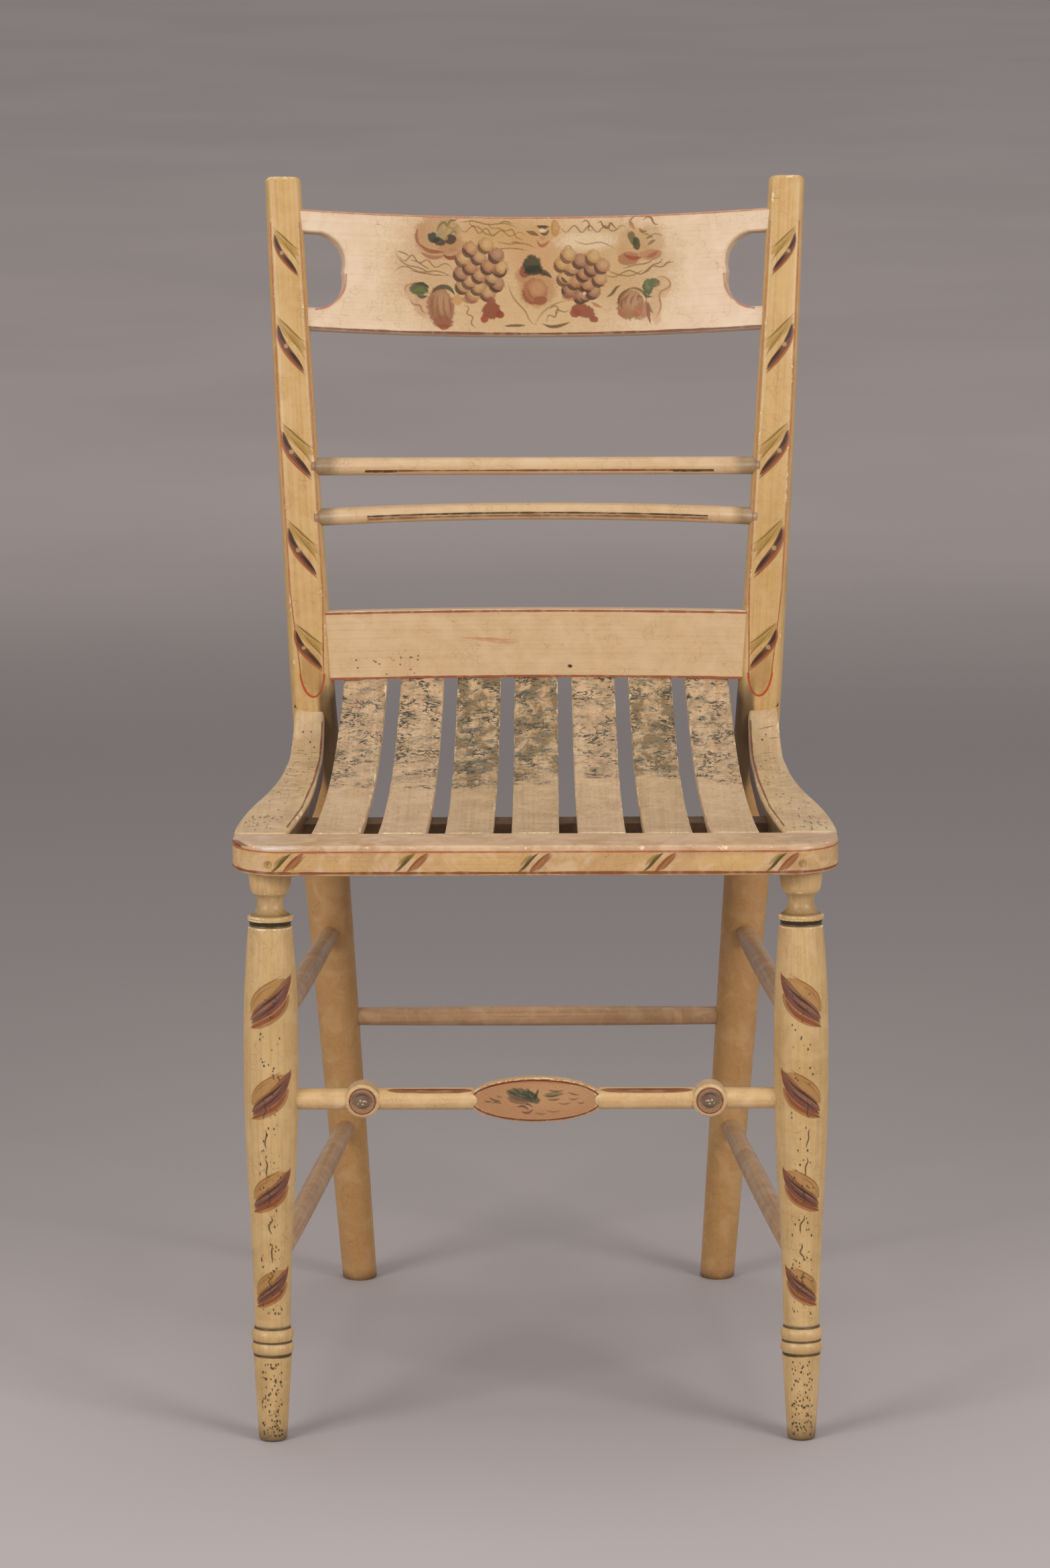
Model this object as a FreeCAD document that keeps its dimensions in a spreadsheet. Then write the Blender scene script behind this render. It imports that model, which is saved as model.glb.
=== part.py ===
import FreeCAD, Part
import math
import os

import Sketcher

# Painted side chair with a slat seat.
# X runs to the sitter's right as seen from the front, Y runs from the seat front to the back, Z is up.
# The origin is on the floor, in the middle of the chair's width and depth.
# The back is bowed: its rails and spindles are arcs set between two bent posts.

doc = FreeCAD.newDocument("side_chair")
sheet = doc.addObject("Spreadsheet::Sheet", "sizes")

SIZES = {
    # whole chair
    "overall_height": 871.0,
    "seat_height": 440.0,
    "seat_width": 432.0,
    "overrun": 6.0,
    # front rail of the seat
    "front_rail_depth": 60.0,
    "front_rail_thick": 22.0,
    "front_rail_corner": 36.0,
    "front_rail_nosing": 3.5,
    "front_rail_lower_round": 2.0,
    "front_rail_ledge": 13.0,
    # side rails of the seat, half widths measured from the middle plane
    "seat_rail_thick": 20.0,
    "seat_rail_inner_front": 177.5,
    "seat_rail_inner_mid": 168.8,
    "seat_rail_inner_mid_y": 140.0,
    "seat_rail_inner_waist": 164.0,
    "seat_rail_inner_waist_y": 240.0,
    "seat_rail_inner_rear": 162.0,
    "seat_rail_outer_mid": 212.6,
    "seat_rail_outer_mid_y": 106.0,
    "seat_rail_outer_turn": 203.5,
    "seat_rail_outer_turn_y": 170.0,
    "seat_rail_outer_waist": 195.2,
    "seat_rail_outer_waist_y": 224.0,
    "seat_rail_outer_neck": 189.4,
    "seat_rail_outer_neck_y": 300.0,
    "seat_rail_outer_rear": 185.0,
    "seat_rail_sweep_y": 318.0,
    "seat_rail_tip_rise": 28.0,
    "seat_rail_tip_depth": 8.0,
    # slats of the seat
    "slat_width": 34.0,
    "slat_rear_width": 33.0,
    "slat_pitch": 47.8,
    "slat_rear_pitch": 43.4,
    "slat_thick": 9.0,
    "slat_dip": 2.8,
    "slat_dip_y": 126.0,
    "slat_rise_y": 205.0,
    "slat_sweep_sag": 9.6,
    "slat_tip_drop": 0.6,
    "slat_tip_rise": 7.0,
    # batten under the slats
    "batten_width": 24.0,
    "batten_front_y": 136.0,
    "batten_thick": 8.6,
    "batten_half_length": 178.0,
    "batten_seat": 0.3,
    # front legs
    "leg_top_x": 189.5,
    "leg_foot_x": 191.0,
    "leg_top_y": 36.0,
    "leg_foot_y": 13.0,
    "leg_tenon_dia": 18.0,
    "leg_tenon_length": 14.0,
    "leg_collar_dia": 33.0,
    "leg_collar_waist_dia": 28.4,
    "leg_collar_waist_drop": 18.6,
    "leg_lip_dia": 26.4,
    "leg_lip_drop": 21.0,
    "leg_neck_dia": 18.6,
    "leg_neck_drop": 29.1,
    "leg_cup_dia": 32.6,
    "leg_cup_drop": 38.6,
    "leg_cup_base_drop": 41.6,
    "leg_groove_dia": 29.0,
    "leg_groove_drop": 44.0,
    "leg_shoulder_dia": 31.6,
    "leg_shoulder_drop": 47.1,
    "leg_upper_dia": 36.8,
    "leg_upper_drop": 80.6,
    "leg_belly_dia": 39.4,
    "leg_belly_share": 0.681,
    "leg_lower_dia": 37.4,
    "leg_lower_share": 0.53,
    "leg_turn_dia": 32.2,
    "leg_turn_share": 0.4156,
    "leg_shin_dia": 27.6,
    "leg_shin_share": 0.2938,
    "leg_ankle_dia": 25.6,
    "leg_ankle_z": 83.0,
    "leg_bead_dia": 30.6,
    "leg_bead_root_dia": 27.2,
    "leg_bead_top_z": 82.0,
    "leg_bead_mid_z": 73.0,
    "leg_bead_low_z": 64.0,
    "leg_foot_top_dia": 27.6,
    "leg_foot_dia": 20.2,
    "leg_foot_trim": 2.0,
    # rear posts: legs below the seat, stiles above it
    "post_foot_x": 141.5,
    "post_foot_y": 441.6,
    "post_foot_dia": 26.8,
    "post_knee_drop": 109.0,
    "post_knee_x": 162.3,
    "post_knee_y": 397.0,
    "post_knee_dia": 34.8,
    "post_seat_drop": 35.0,
    "post_seat_x": 166.6,
    "post_seat_y": 389.0,
    "post_seat_dia": 35.2,
    "post_lap_rise": 40.0,
    "post_lap_x": 171.2,
    "post_lap_width": 34.0,
    "post_lap_thick": 26.0,
    "post_face_y": 371.0,
    "post_bend_radius": 1130.0,
    "post_head_x": 192.8,
    "post_head_width": 27.6,
    "post_head_thick": 17.0,
    "post_corner_radius": 3.6,
    "post_cap_height": 3.8,
    "post_cap_inset": 3.4,
    "post_crown": 1.2,
    # lower rail of the back
    "low_rail_rise": 51.5,
    "low_rail_height": 53.0,
    "low_rail_thick": 14.0,
    "low_rail_bow": 15.0,
    "low_rail_chord": 157.0,
    "low_rail_setback": 3.0,
    "low_rail_lean": 2.5,
    "low_rail_tenon": 11.0,
    # crest rail of the back
    "crest_drop": 113.4,
    "crest_height": 92.4,
    "crest_thick": 12.0,
    "crest_bow": 31.4,
    "crest_chord": 170.0,
    "crest_setback": 6.4,
    "crest_half_length": 183.0,
    "crest_round": 2.0,
    "notch_top": 75.0,
    "notch_bottom": 17.0,
    "notch_reach_x": 163.0,
    "notch_lobe_x": 147.2,
    "notch_lobe_inset": 12.6,
    "notch_cusp_x": 146.4,
    # spindles of the back
    "spindle_setback": 9.6,
    "upper_spindle_share": 0.497,
    "upper_spindle_dia": 13.6,
    "upper_spindle_bow": 28.0,
    "upper_spindle_chord": 164.0,
    "upper_spindle_lean": 8.2,
    "lower_spindle_share": 0.4084,
    "lower_spindle_dia": 13.3,
    "lower_spindle_bow": 30.0,
    "lower_spindle_chord": 162.0,
    "lower_spindle_lean": 0.5,
    "spindle_tenon": 11.0,
    # stretchers between the legs
    "front_stretcher_share": 0.567,
    "front_stretcher_dia": 16.0,
    "front_stretcher_end_dia": 15.0,
    "plaque_length": 88.0,
    "plaque_height": 31.0,
    "plaque_thick": 9.0,
    "plaque_forward": 1.5,
    "plaque_round": 1.4,
    "roundel_x": 124.4,
    "roundel_dia": 21.4,
    "roundel_thick": 19.0,
    "roundel_bevel": 2.4,
    "roundel_dish_dia": 13.4,
    "roundel_dish_depth": 1.0,
    "rear_stretcher_share": 0.4966,
    "rear_stretcher_dia": 15.4,
    "rear_stretcher_end_dia": 13.6,
    "upper_stretcher_rear_share": 0.6568,
    "upper_stretcher_front_share": 0.675,
    "lower_stretcher_rear_share": 0.2932,
    "lower_stretcher_front_share": 0.2864,
    "stretcher_dia": 16.6,
    "stretcher_end_dia": 13.4,
    # pins and brads
    "pin_dia": 5.0,
    "pin_length": 46.0,
    "pin_drop": 13.0,
    "brad_dia": 2.4,
    "brad_length": 17.0,
    "rail_nail_dia": 3.6,
    "rail_nail_length": 30.0,
    "rail_nail_rise": 17.0,
    "rail_nail_x": 177.0,
    "rail_nail_sink": 1.6,
}

for row, (alias, size) in enumerate(SIZES.items(), start=1):
    sheet.set("A%d" % row, alias)
    sheet.set("B%d" % row, repr(size))
    sheet.setAlias("B%d" % row, alias)
doc.recompute()

# Two edges that are nearer in height than this are level with each other.
HAIR = 1e-3


class Measure:
    """A size and the expression that gives it from the sheet, so that both stay in step."""

    def __init__(self, size, text):
        self.size = float(size)
        self.text = text

    @staticmethod
    def of(other):
        if isinstance(other, Measure):
            return other
        return Measure(other, repr(float(other)))

    def join(self, other, sign, size):
        return Measure(size, "(%s %s %s)" % (self.text, sign, Measure.of(other).text))

    def __add__(self, other):
        return self.join(other, "+", self.size + Measure.of(other).size)

    def __sub__(self, other):
        return self.join(other, "-", self.size - Measure.of(other).size)

    def __mul__(self, other):
        return self.join(other, "*", self.size * Measure.of(other).size)

    def __truediv__(self, other):
        return self.join(other, "/", self.size / Measure.of(other).size)

    def __rmul__(self, other):
        return Measure.of(other) * self

    def __neg__(self):
        return Measure(-self.size, "(-1 * %s)" % self.text)

    def squared(self):
        return Measure(self.size ** 2, "(%s ^ 2)" % self.text)

    def root(self):
        return Measure(math.sqrt(self.size), "sqrt(%s)" % self.text)

    def sine(self):
        return Measure(math.sin(math.radians(self.size)), "sin(%s)" % self.text)

    def cosine(self):
        return Measure(math.cos(math.radians(self.size)), "cos(%s)" % self.text)

    def arcsine(self):
        return Measure(math.degrees(math.asin(self.size)), "asin(%s)" % self.text)

    def arccosine(self):
        return Measure(math.degrees(math.acos(self.size)), "acos(%s)" % self.text)


class Sizes:
    """Gives each named cell of the sheet as a measure."""

    def __getattr__(self, alias):
        return Measure(sheet.get(alias), "sizes.%s" % alias)


s = Sizes()
zero = Measure(0, "0")

# Depths in the list above are taken from the seat front, and heights from the floor, the seat or the top.
back_height = s.overall_height - s.seat_height
lap_height = s.seat_height + s.post_lap_rise


def stile_face(height):
    """Depth of the post's front face at a height. Above the seat it is an arc that starts upright."""
    rise = height - lap_height
    return s.post_face_y + s.post_bend_radius - (s.post_bend_radius.squared() - rise.squared()).root()


def stile_lean(height):
    """How far the post leans back at a height."""
    return ((height - lap_height) / s.post_bend_radius).arcsine()


# The crest rail's upper back edge is the furthest point behind the seat front, so every piece is
# moved forward by half the depth between the two.
crest_height_z = s.overall_height - s.crest_drop
crest_lean = stile_lean(crest_height_z + s.crest_height / 2)
crest_end_y = stile_face(crest_height_z) + s.crest_setback
whole_depth = (crest_end_y + (s.crest_bow + s.crest_thick) * crest_lean.cosine()
               + s.crest_height * crest_lean.sine())
front = -(whole_depth / 2)


def bind(thing, prop, measure):
    """Tie one property to the sheet."""
    thing.setExpression(prop, Measure.of(measure).text)


def place(thing, x=zero, y=zero, z=zero, prop="Placement"):
    """Set down a piece by the place of its own origin."""
    for axis, measure in zip("xyz", (x, y, z)):
        bind(thing, "%s.Base.%s" % (prop, axis), measure)


def lean_back(thing, angle, prop="Placement"):
    """Tilt a piece's own Z axis towards the back by an angle."""
    base = getattr(thing, prop).Base
    turn = FreeCAD.Rotation(FreeCAD.Vector(1, 0, 0), -angle.size)
    setattr(thing, prop, FreeCAD.Placement(base, turn))
    bind(thing, "%s.Rotation.Angle" % prop, -angle)


def span(start, end):
    """Length of the line between two points."""
    total = zero
    for a, b in zip(start, end):
        total = total + (b - a).squared()
    return total.root()


def aim(thing, start, end):
    """Set down a piece so that its own Z axis runs from one point towards another."""
    along = [b - a for a, b in zip(start, end)]
    length = span(start, end)
    flat = (along[0].squared() + along[1].squared()).root()
    axis = (-(along[1] / flat), along[0] / flat)
    tilt = (along[2] / length).arccosine()
    turn = FreeCAD.Rotation(FreeCAD.Vector(axis[0].size, axis[1].size, 0), tilt.size)
    thing.Placement = FreeCAD.Placement(FreeCAD.Vector(*[p.size for p in start]), turn)
    place(thing, *start)
    bind(thing, "Placement.Rotation.Axis.x", axis[0])
    bind(thing, "Placement.Rotation.Axis.y", axis[1])
    bind(thing, "Placement.Rotation.Angle", tilt)


def origin_plane(body, role):
    for feature in body.Origin.OriginFeatures:
        if feature.Role == role:
            return feature
    raise ValueError("no plane %s" % role)


def new_body(name):
    return doc.addObject("PartDesign::Body", name)


def new_sketch(name, plane=None, body=None):
    """A sketch on one of the body's own planes, or a free one turned to stand in such a plane."""
    if body is not None:
        sketch = body.newObject("Sketcher::SketchObject", name)
        sketch.AttachmentSupport = [(origin_plane(body, plane), "")]
        sketch.MapMode = "FlatFace"
        return sketch
    sketch = doc.addObject("Sketcher::SketchObject", name)
    turns = {"XY_Plane": FreeCAD.Rotation(), "YZ_Plane": FreeCAD.Rotation(90, 0, 90)}
    sketch.Placement = FreeCAD.Placement(FreeCAD.Vector(), turns[plane])
    return sketch


def fix_point(sketch, index, where, point):
    """Hold one end of a line or arc at two measures from the sketch's origin."""
    for kind, measure in zip(("DistanceX", "DistanceY"), point):
        label = "at%d" % sketch.ConstraintCount
        number = sketch.addConstraint(Sketcher.Constraint(kind, -1, 1, index, where, measure.size))
        sketch.renameConstraint(number, label)
        bind(sketch, "Constraints.%s" % label, measure)


def outline(sketch, points):
    """Draw a closed outline. A corner is a pair of measures, and a pair after "via" is a point that
    the arc between its two neighbours passes through."""
    corners = []
    mids = {}
    for point in points:
        if point[0] == "via":
            mids[len(corners) - 1] = point[1:]
        else:
            corners.append(point)
    count = len(corners)
    vectors = [FreeCAD.Vector(p[0].size, p[1].size, 0) for p in corners]
    first = sketch.GeometryCount
    ends = []
    for i in range(count):
        a, b = vectors[i], vectors[(i + 1) % count]
        if i in mids:
            mid = FreeCAD.Vector(mids[i][0].size, mids[i][1].size, 0)
            forward = (mid - a).cross(b - mid).z > 0
            curve = Part.Arc(a, mid, b) if forward else Part.Arc(b, mid, a)
            index = sketch.addGeometry(curve, False)
            ends.append((index, 1, 2) if forward else (index, 2, 1))
        else:
            index = sketch.addGeometry(Part.LineSegment(a, b), False)
            ends.append((index, 1, 2))
    for i in range(count):
        here, onward = ends[i], ends[(i + 1) % count]
        sketch.addConstraint(Sketcher.Constraint("Coincident", here[0], here[2], onward[0], onward[1]))
    for i in range(count):
        fix_point(sketch, ends[i][0], ends[i][1], corners[i])
    for i, mid in mids.items():
        vector = FreeCAD.Vector(mid[0].size, mid[1].size, 0)
        index = sketch.addGeometry(Part.Point(vector), True)
        sketch.addConstraint(Sketcher.Constraint("PointOnObject", index, 1, ends[i][0]))
        fix_point(sketch, index, 1, mid)
    return first


def circle(sketch, centre, radius):
    """Draw a circle held by its centre and radius."""
    middle = FreeCAD.Vector(centre[0].size, centre[1].size, 0)
    index = sketch.addGeometry(Part.Circle(middle, FreeCAD.Vector(0, 0, 1), radius.size), False)
    number = sketch.addConstraint(Sketcher.Constraint("Radius", index, radius.size))
    sketch.renameConstraint(number, "radius%d" % index)
    bind(sketch, "Constraints.radius%d" % index, radius)
    fix_point(sketch, index, 3, centre)


def revolve(body, name, points):
    """Turn an outline, given as radius and height, about the body's own Z axis."""
    sketch = new_sketch(name + "_outline", "XZ_Plane", body)
    outline(sketch, points)
    turned = body.newObject("PartDesign::Revolution", name)
    turned.Profile = sketch
    turned.ReferenceAxis = (sketch, ["V_Axis"])
    turned.Angle = 360
    return turned


def pad(body, name, sketch, length, symmetric=False):
    feature = body.newObject("PartDesign::Pad", name)
    feature.Profile = sketch
    if symmetric:
        feature.SideType = "Symmetric"
    bind(feature, "Length", length)
    return feature


def cut_through(body, name, sketch):
    """Cut an outline right through the body, both ways from its plane."""
    feature = body.newObject("PartDesign::Pocket", name)
    feature.Profile = sketch
    feature.SideType = "Symmetric"
    feature.Type = "ThroughAll"
    return feature


def extrude(name, sketch, length, symmetric=False):
    """A free outline given a length square to its plane."""
    feature = doc.addObject("Part::Extrusion", name)
    feature.Base = sketch
    feature.DirMode = "Normal"
    feature.Solid = True
    feature.Symmetric = symmetric
    bind(feature, "LengthFwd", length)
    return feature


def cylinder(name, radius, height):
    feature = doc.addObject("Part::Cylinder", name)
    bind(feature, "Radius", radius)
    bind(feature, "Height", height)
    return feature


def group(name, members):
    feature = doc.addObject("Part::Compound", name)
    feature.Links = members
    return feature


def carve(name, base, tools):
    """Let the other pieces into this one: what they fill is cut out of it."""
    feature = doc.addObject("Part::Cut", name)
    feature.Base = base
    feature.Tool = tools[0] if len(tools) == 1 else group(name + "_tools", tools)
    return feature


def mirror(name, source):
    """The same piece on the other side of the chair."""
    feature = doc.addObject("Part::Mirroring", name)
    feature.Source = source
    feature.Normal = FreeCAD.Vector(1, 0, 0)
    return feature


def arc_radius(chord, bow):
    """Radius of an arc from half its chord and its bow."""
    return (chord.squared() + bow.squared()) / (2 * bow)


def sweep_middle(start, end):
    """Middle point of the arc that leaves the start level and rises to the end."""
    run = end[0] - start[0]
    rise = end[1] - start[1]
    square = run.squared() + rise.squared()
    radius = square / (2 * rise)
    part = rise.squared() / square
    level = (Measure.of(1) - part).root()
    return (start[0] + radius * part.root(), start[1] + radius - radius * level)


pieces = {}

# Seat levels that several pieces share.
rail_underside = s.seat_height - s.front_rail_thick
ledge_height = s.seat_height - s.slat_thick
slat_front = s.front_rail_depth - s.front_rail_ledge
half_seat = s.seat_width / 2
batten_top = s.seat_height - s.slat_dip - s.slat_thick + s.batten_seat
batten_middle = s.batten_front_y + s.batten_width / 2
low_rail_base = s.seat_height + s.low_rail_rise

floor = doc.addObject("Part::Box", "below_floor")
bind(floor, "Length", s.seat_width + 2 * s.overrun)
bind(floor, "Width", whole_depth + 2 * s.overrun)
bind(floor, "Height", 2 * s.overrun)
place(floor, -(half_seat + s.overrun), front - s.overrun, -(2 * s.overrun))

# Lower rail of the back: a board bowed backwards, tenoned into both posts.


def bowed_board(name, thick, height, chord, bow, half_length):
    """A board that is an arc in plan, its front face hollow and its ends cut square to the arc. Its
    own origin is at the middle of that face's lower edge."""
    radius = arc_radius(chord, bow)
    body = new_body(name)
    sketch = new_sketch(name + "_plan", "XY_Plane", body)
    depth = (radius.squared() - half_length.squared()).root()
    growth = (radius + thick) / radius
    front_end = depth - radius
    back_end = depth * growth - radius
    back_half = half_length * growth
    outline(sketch, [
        (-half_length, front_end),
        ("via", zero, zero),
        (half_length, front_end),
        (back_half, back_end),
        ("via", zero, thick),
        (-back_half, back_end),
    ])
    return body, pad(body, name + "_board", sketch, height)


low_rail_half = s.low_rail_chord + s.low_rail_tenon
low_rail_body, _ = bowed_board("low_rail", s.low_rail_thick, s.low_rail_height,
                               s.low_rail_chord, s.low_rail_bow, low_rail_half)
low_rail_face = s.post_face_y + s.low_rail_setback
place(low_rail_body, zero, front + low_rail_face + s.low_rail_bow, low_rail_base)
lean_back(low_rail_body, s.low_rail_lean)

# Batten across the underside of the seat.
batten_blank = doc.addObject("Part::Box", "batten_board")
bind(batten_blank, "Length", 2 * s.batten_half_length)
bind(batten_blank, "Width", s.batten_width)
bind(batten_blank, "Height", s.batten_thick)
place(batten_blank, -s.batten_half_length, front + s.batten_front_y, batten_top - s.batten_thick)

# Slats: the middle one and three on the right, each a swept side outline within a tapered plan.
brads = []
slats = []


def slat_blank(number):
    """Seat slat, counted from the middle one. Its rear end follows the bow of the lower rail."""
    name = "slat%d" % number
    rear_x = number * s.slat_rear_pitch
    reach = low_rail_face + s.low_rail_bow - s.low_rail_bow * (rear_x / s.low_rail_chord).squared()
    tip_y = reach + s.low_rail_thick
    top_z = low_rail_base - s.slat_tip_drop
    sweep_y = (s.slat_rise_y + reach) / 2
    sweep_z = (s.seat_height + top_z) / 2 - s.slat_sweep_sag
    side = new_sketch(name + "_side", "YZ_Plane")
    outline(side, [
        (slat_front, s.seat_height),
        ("via", s.slat_dip_y, s.seat_height - s.slat_dip),
        (s.slat_rise_y, s.seat_height),
        ("via", sweep_y, sweep_z),
        (reach, top_z),
        (tip_y, top_z + s.slat_tip_rise),
        (tip_y, top_z + s.slat_tip_rise - s.slat_thick),
        (reach, top_z - s.slat_thick),
        ("via", sweep_y, sweep_z - s.slat_thick),
        (s.slat_rise_y, ledge_height),
        ("via", s.slat_dip_y, ledge_height - s.slat_dip),
        (slat_front, ledge_height),
    ])
    plan = new_sketch(name + "_plan", "XY_Plane")
    front_x = number * s.slat_pitch
    outline(plan, [
        (front_x - s.slat_width / 2, slat_front),
        (front_x + s.slat_width / 2, slat_front),
        (rear_x + s.slat_rear_width / 2, tip_y),
        (rear_x - s.slat_rear_width / 2, tip_y),
    ])
    swept = extrude(name + "_swept", side, s.seat_width, symmetric=True)
    field = extrude(name + "_field", plan, s.overall_height)
    blank = doc.addObject("Part::Common", name + "_blank")
    blank.Base = swept
    blank.Tool = field
    # Brads come up from below, through the ledge, through the batten and into the lower rail.
    run = reach - slat_front
    for place_name, depth, low in (
            ("ledge", slat_front + s.front_rail_ledge / 2, rail_underside),
            ("batten", batten_middle, batten_top - s.batten_thick),
            ("rail", reach + s.low_rail_thick / 2, top_z - s.slat_thick + s.slat_tip_rise / 2)):
        share = (depth - slat_front) / run
        brad_x = front_x + (rear_x - front_x) * share
        for side_sign in ((1,) if number == 0 else (1, -1)):
            label = "brad_%s_%d_%d" % (place_name, number, side_sign + 1)
            brad = cylinder(label, s.brad_dia / 2, s.brad_length)
            place(brad, side_sign * brad_x, front + depth, low)
            brads.append(brad)
    return blank


middle_slat = 4
for number in range(middle_slat):
    blank = slat_blank(number)
    bind(blank, "Placement.Base.y", front)
    slats.append(blank)

slat_nails = group("slat_nails", brads)
pieces["slat_nails"] = slat_nails

# Side rails: a level board that sweeps up at the back, its end let into the face of the post.
sweep_start = (s.seat_rail_sweep_y, s.seat_height)
tip_height = s.seat_height + s.seat_rail_tip_rise
sweep_end = (s.post_face_y, tip_height)
sweep_rise = s.seat_rail_tip_rise
sweep_run = s.post_face_y - s.seat_rail_sweep_y
sweep_radius = arc_radius(sweep_run, sweep_rise)
tip_y = s.post_face_y + s.seat_rail_tip_depth
under_radius = sweep_radius + s.seat_rail_thick
sweep_centre_z = s.seat_height + sweep_radius
under_run = tip_y - s.seat_rail_sweep_y
under_z = sweep_centre_z - (under_radius.squared() - under_run.squared()).root()
under_start = (s.seat_rail_sweep_y, s.seat_height - s.seat_rail_thick)
side_view = new_sketch("side_rail_side", "YZ_Plane")
outline(side_view, [
    (slat_front, s.seat_height),
    sweep_start,
    ("via",) + sweep_middle(sweep_start, sweep_end),
    sweep_end,
    (tip_y, tip_height),
    (tip_y, under_z),
    ("via",) + sweep_middle(under_start, (tip_y, under_z)),
    under_start,
    (s.front_rail_depth, s.seat_height - s.seat_rail_thick),
    (s.front_rail_depth, ledge_height),
    (slat_front, ledge_height),
])
rail_plan = new_sketch("side_rail_plan", "XY_Plane")
outline(rail_plan, [
    (s.seat_rail_inner_front, slat_front),
    (half_seat, slat_front),
    (half_seat, s.front_rail_depth),
    ("via", s.seat_rail_outer_mid, s.seat_rail_outer_mid_y),
    (s.seat_rail_outer_turn, s.seat_rail_outer_turn_y),
    ("via", s.seat_rail_outer_waist, s.seat_rail_outer_waist_y),
    (s.seat_rail_outer_neck, s.seat_rail_outer_neck_y),
    (s.seat_rail_outer_rear, tip_y),
    (s.seat_rail_inner_rear, tip_y),
    (s.seat_rail_inner_waist, s.seat_rail_inner_waist_y),
    ("via", s.seat_rail_inner_mid, s.seat_rail_inner_mid_y),
    (s.seat_rail_inner_front, s.front_rail_depth),
])
side_swept = extrude("side_rail_swept", side_view, s.seat_width, symmetric=True)
side_field = extrude("side_rail_field", rail_plan, s.overall_height)
side_blank = doc.addObject("Part::Common", "side_rail_blank")
side_blank.Base = side_swept
side_blank.Tool = side_field
bind(side_blank, "Placement.Base.y", front)

nail_height = s.seat_height + s.rail_nail_rise
nail_rise = sweep_centre_z - nail_height
nail_y = s.seat_rail_sweep_y + (sweep_radius.squared() - nail_rise.squared()).root() + s.rail_nail_sink
rail_nails = []
for sign, word in ((1, "right"), (-1, "left")):
    nail = cylinder("rail_nail_" + word, s.rail_nail_dia / 2, s.rail_nail_length)
    nail.Placement.Rotation = FreeCAD.Rotation(FreeCAD.Vector(1, 0, 0), -90)
    place(nail, sign * s.rail_nail_x, front + nail_y, nail_height)
    rail_nails.append(nail)
pieces["side_rail_nails"] = group("side_rail_nails", rail_nails)
pieces["side_rail_right"] = carve("side_rail_right", side_blank, [batten_blank, pieces["side_rail_nails"]])
pieces["side_rail_left"] = mirror("side_rail_left", pieces["side_rail_right"])

# Front legs: turned, with a cup below a neck at the top and two beads above the foot.
leg_foot = (s.leg_foot_x, front + s.leg_foot_y, zero)
leg_top = (s.leg_top_x, front + s.leg_top_y, rail_underside)


def on_leg(height):
    """Point of the front leg's axis at a height above the floor."""
    share = height / rail_underside
    return tuple(a + (b - a) * share for a, b in zip(leg_foot, leg_top))


leg_length = span(leg_foot, leg_top)
leg_body = new_body("leg_turning")
leg_end = leg_length + s.leg_tenon_length
bead_upper_z = (s.leg_bead_top_z + s.leg_bead_mid_z) / 2
bead_lower_z = (s.leg_bead_mid_z + s.leg_bead_low_z) / 2
revolve(leg_body, "leg_turned", [
    (zero, -s.leg_foot_trim),
    (s.leg_foot_dia / 2, -s.leg_foot_trim),
    (s.leg_foot_top_dia / 2, s.leg_bead_low_z - s.leg_foot_trim),
    (s.leg_bead_root_dia / 2, s.leg_bead_low_z),
    ("via", s.leg_bead_dia / 2, bead_lower_z),
    (s.leg_bead_root_dia / 2, s.leg_bead_mid_z),
    ("via", s.leg_bead_dia / 2, bead_upper_z),
    (s.leg_ankle_dia / 2, s.leg_ankle_z),
    ("via", s.leg_shin_dia / 2, leg_length * s.leg_shin_share),
    (s.leg_turn_dia / 2, leg_length * s.leg_turn_share),
    ("via", s.leg_lower_dia / 2, leg_length * s.leg_lower_share),
    (s.leg_belly_dia / 2, leg_length * s.leg_belly_share),
    ("via", s.leg_upper_dia / 2, leg_length - s.leg_upper_drop),
    (s.leg_shoulder_dia / 2, leg_length - s.leg_shoulder_drop),
    ("via", s.leg_groove_dia / 2, leg_length - s.leg_groove_drop),
    (s.leg_cup_dia / 2, leg_length - s.leg_cup_base_drop),
    (s.leg_cup_dia / 2, leg_length - s.leg_cup_drop),
    ("via", s.leg_neck_dia / 2, leg_length - s.leg_neck_drop),
    (s.leg_lip_dia / 2, leg_length - s.leg_lip_drop),
    (s.leg_collar_waist_dia / 2, leg_length - s.leg_collar_waist_drop),
    (s.leg_collar_dia / 2, leg_length + s.leg_foot_trim),
    (s.leg_tenon_dia / 2, leg_length + s.leg_foot_trim),
    (s.leg_tenon_dia / 2, leg_end),
    (zero, leg_end),
])
aim(leg_body, leg_foot, leg_top)
tenon = cylinder("leg_tenon_room", s.leg_tenon_dia / 2, leg_end)
aim(tenon, leg_foot, leg_top)
tenon_left = mirror("leg_tenon_room_left", tenon)

# Wooden pins driven from the front through the tops of the front legs.
pins = []
for sign, word in ((1, "right"), (-1, "left")):
    pin = cylinder("leg_pin_" + word, s.pin_dia / 2, s.pin_length)
    pin.Placement.Rotation = FreeCAD.Rotation(FreeCAD.Vector(1, 0, 0), -90)
    place(pin, sign * s.leg_top_x, front, s.seat_height - s.pin_drop)
    pins.append(pin)
pieces["leg_pins"] = group("leg_pins", pins)

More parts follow.
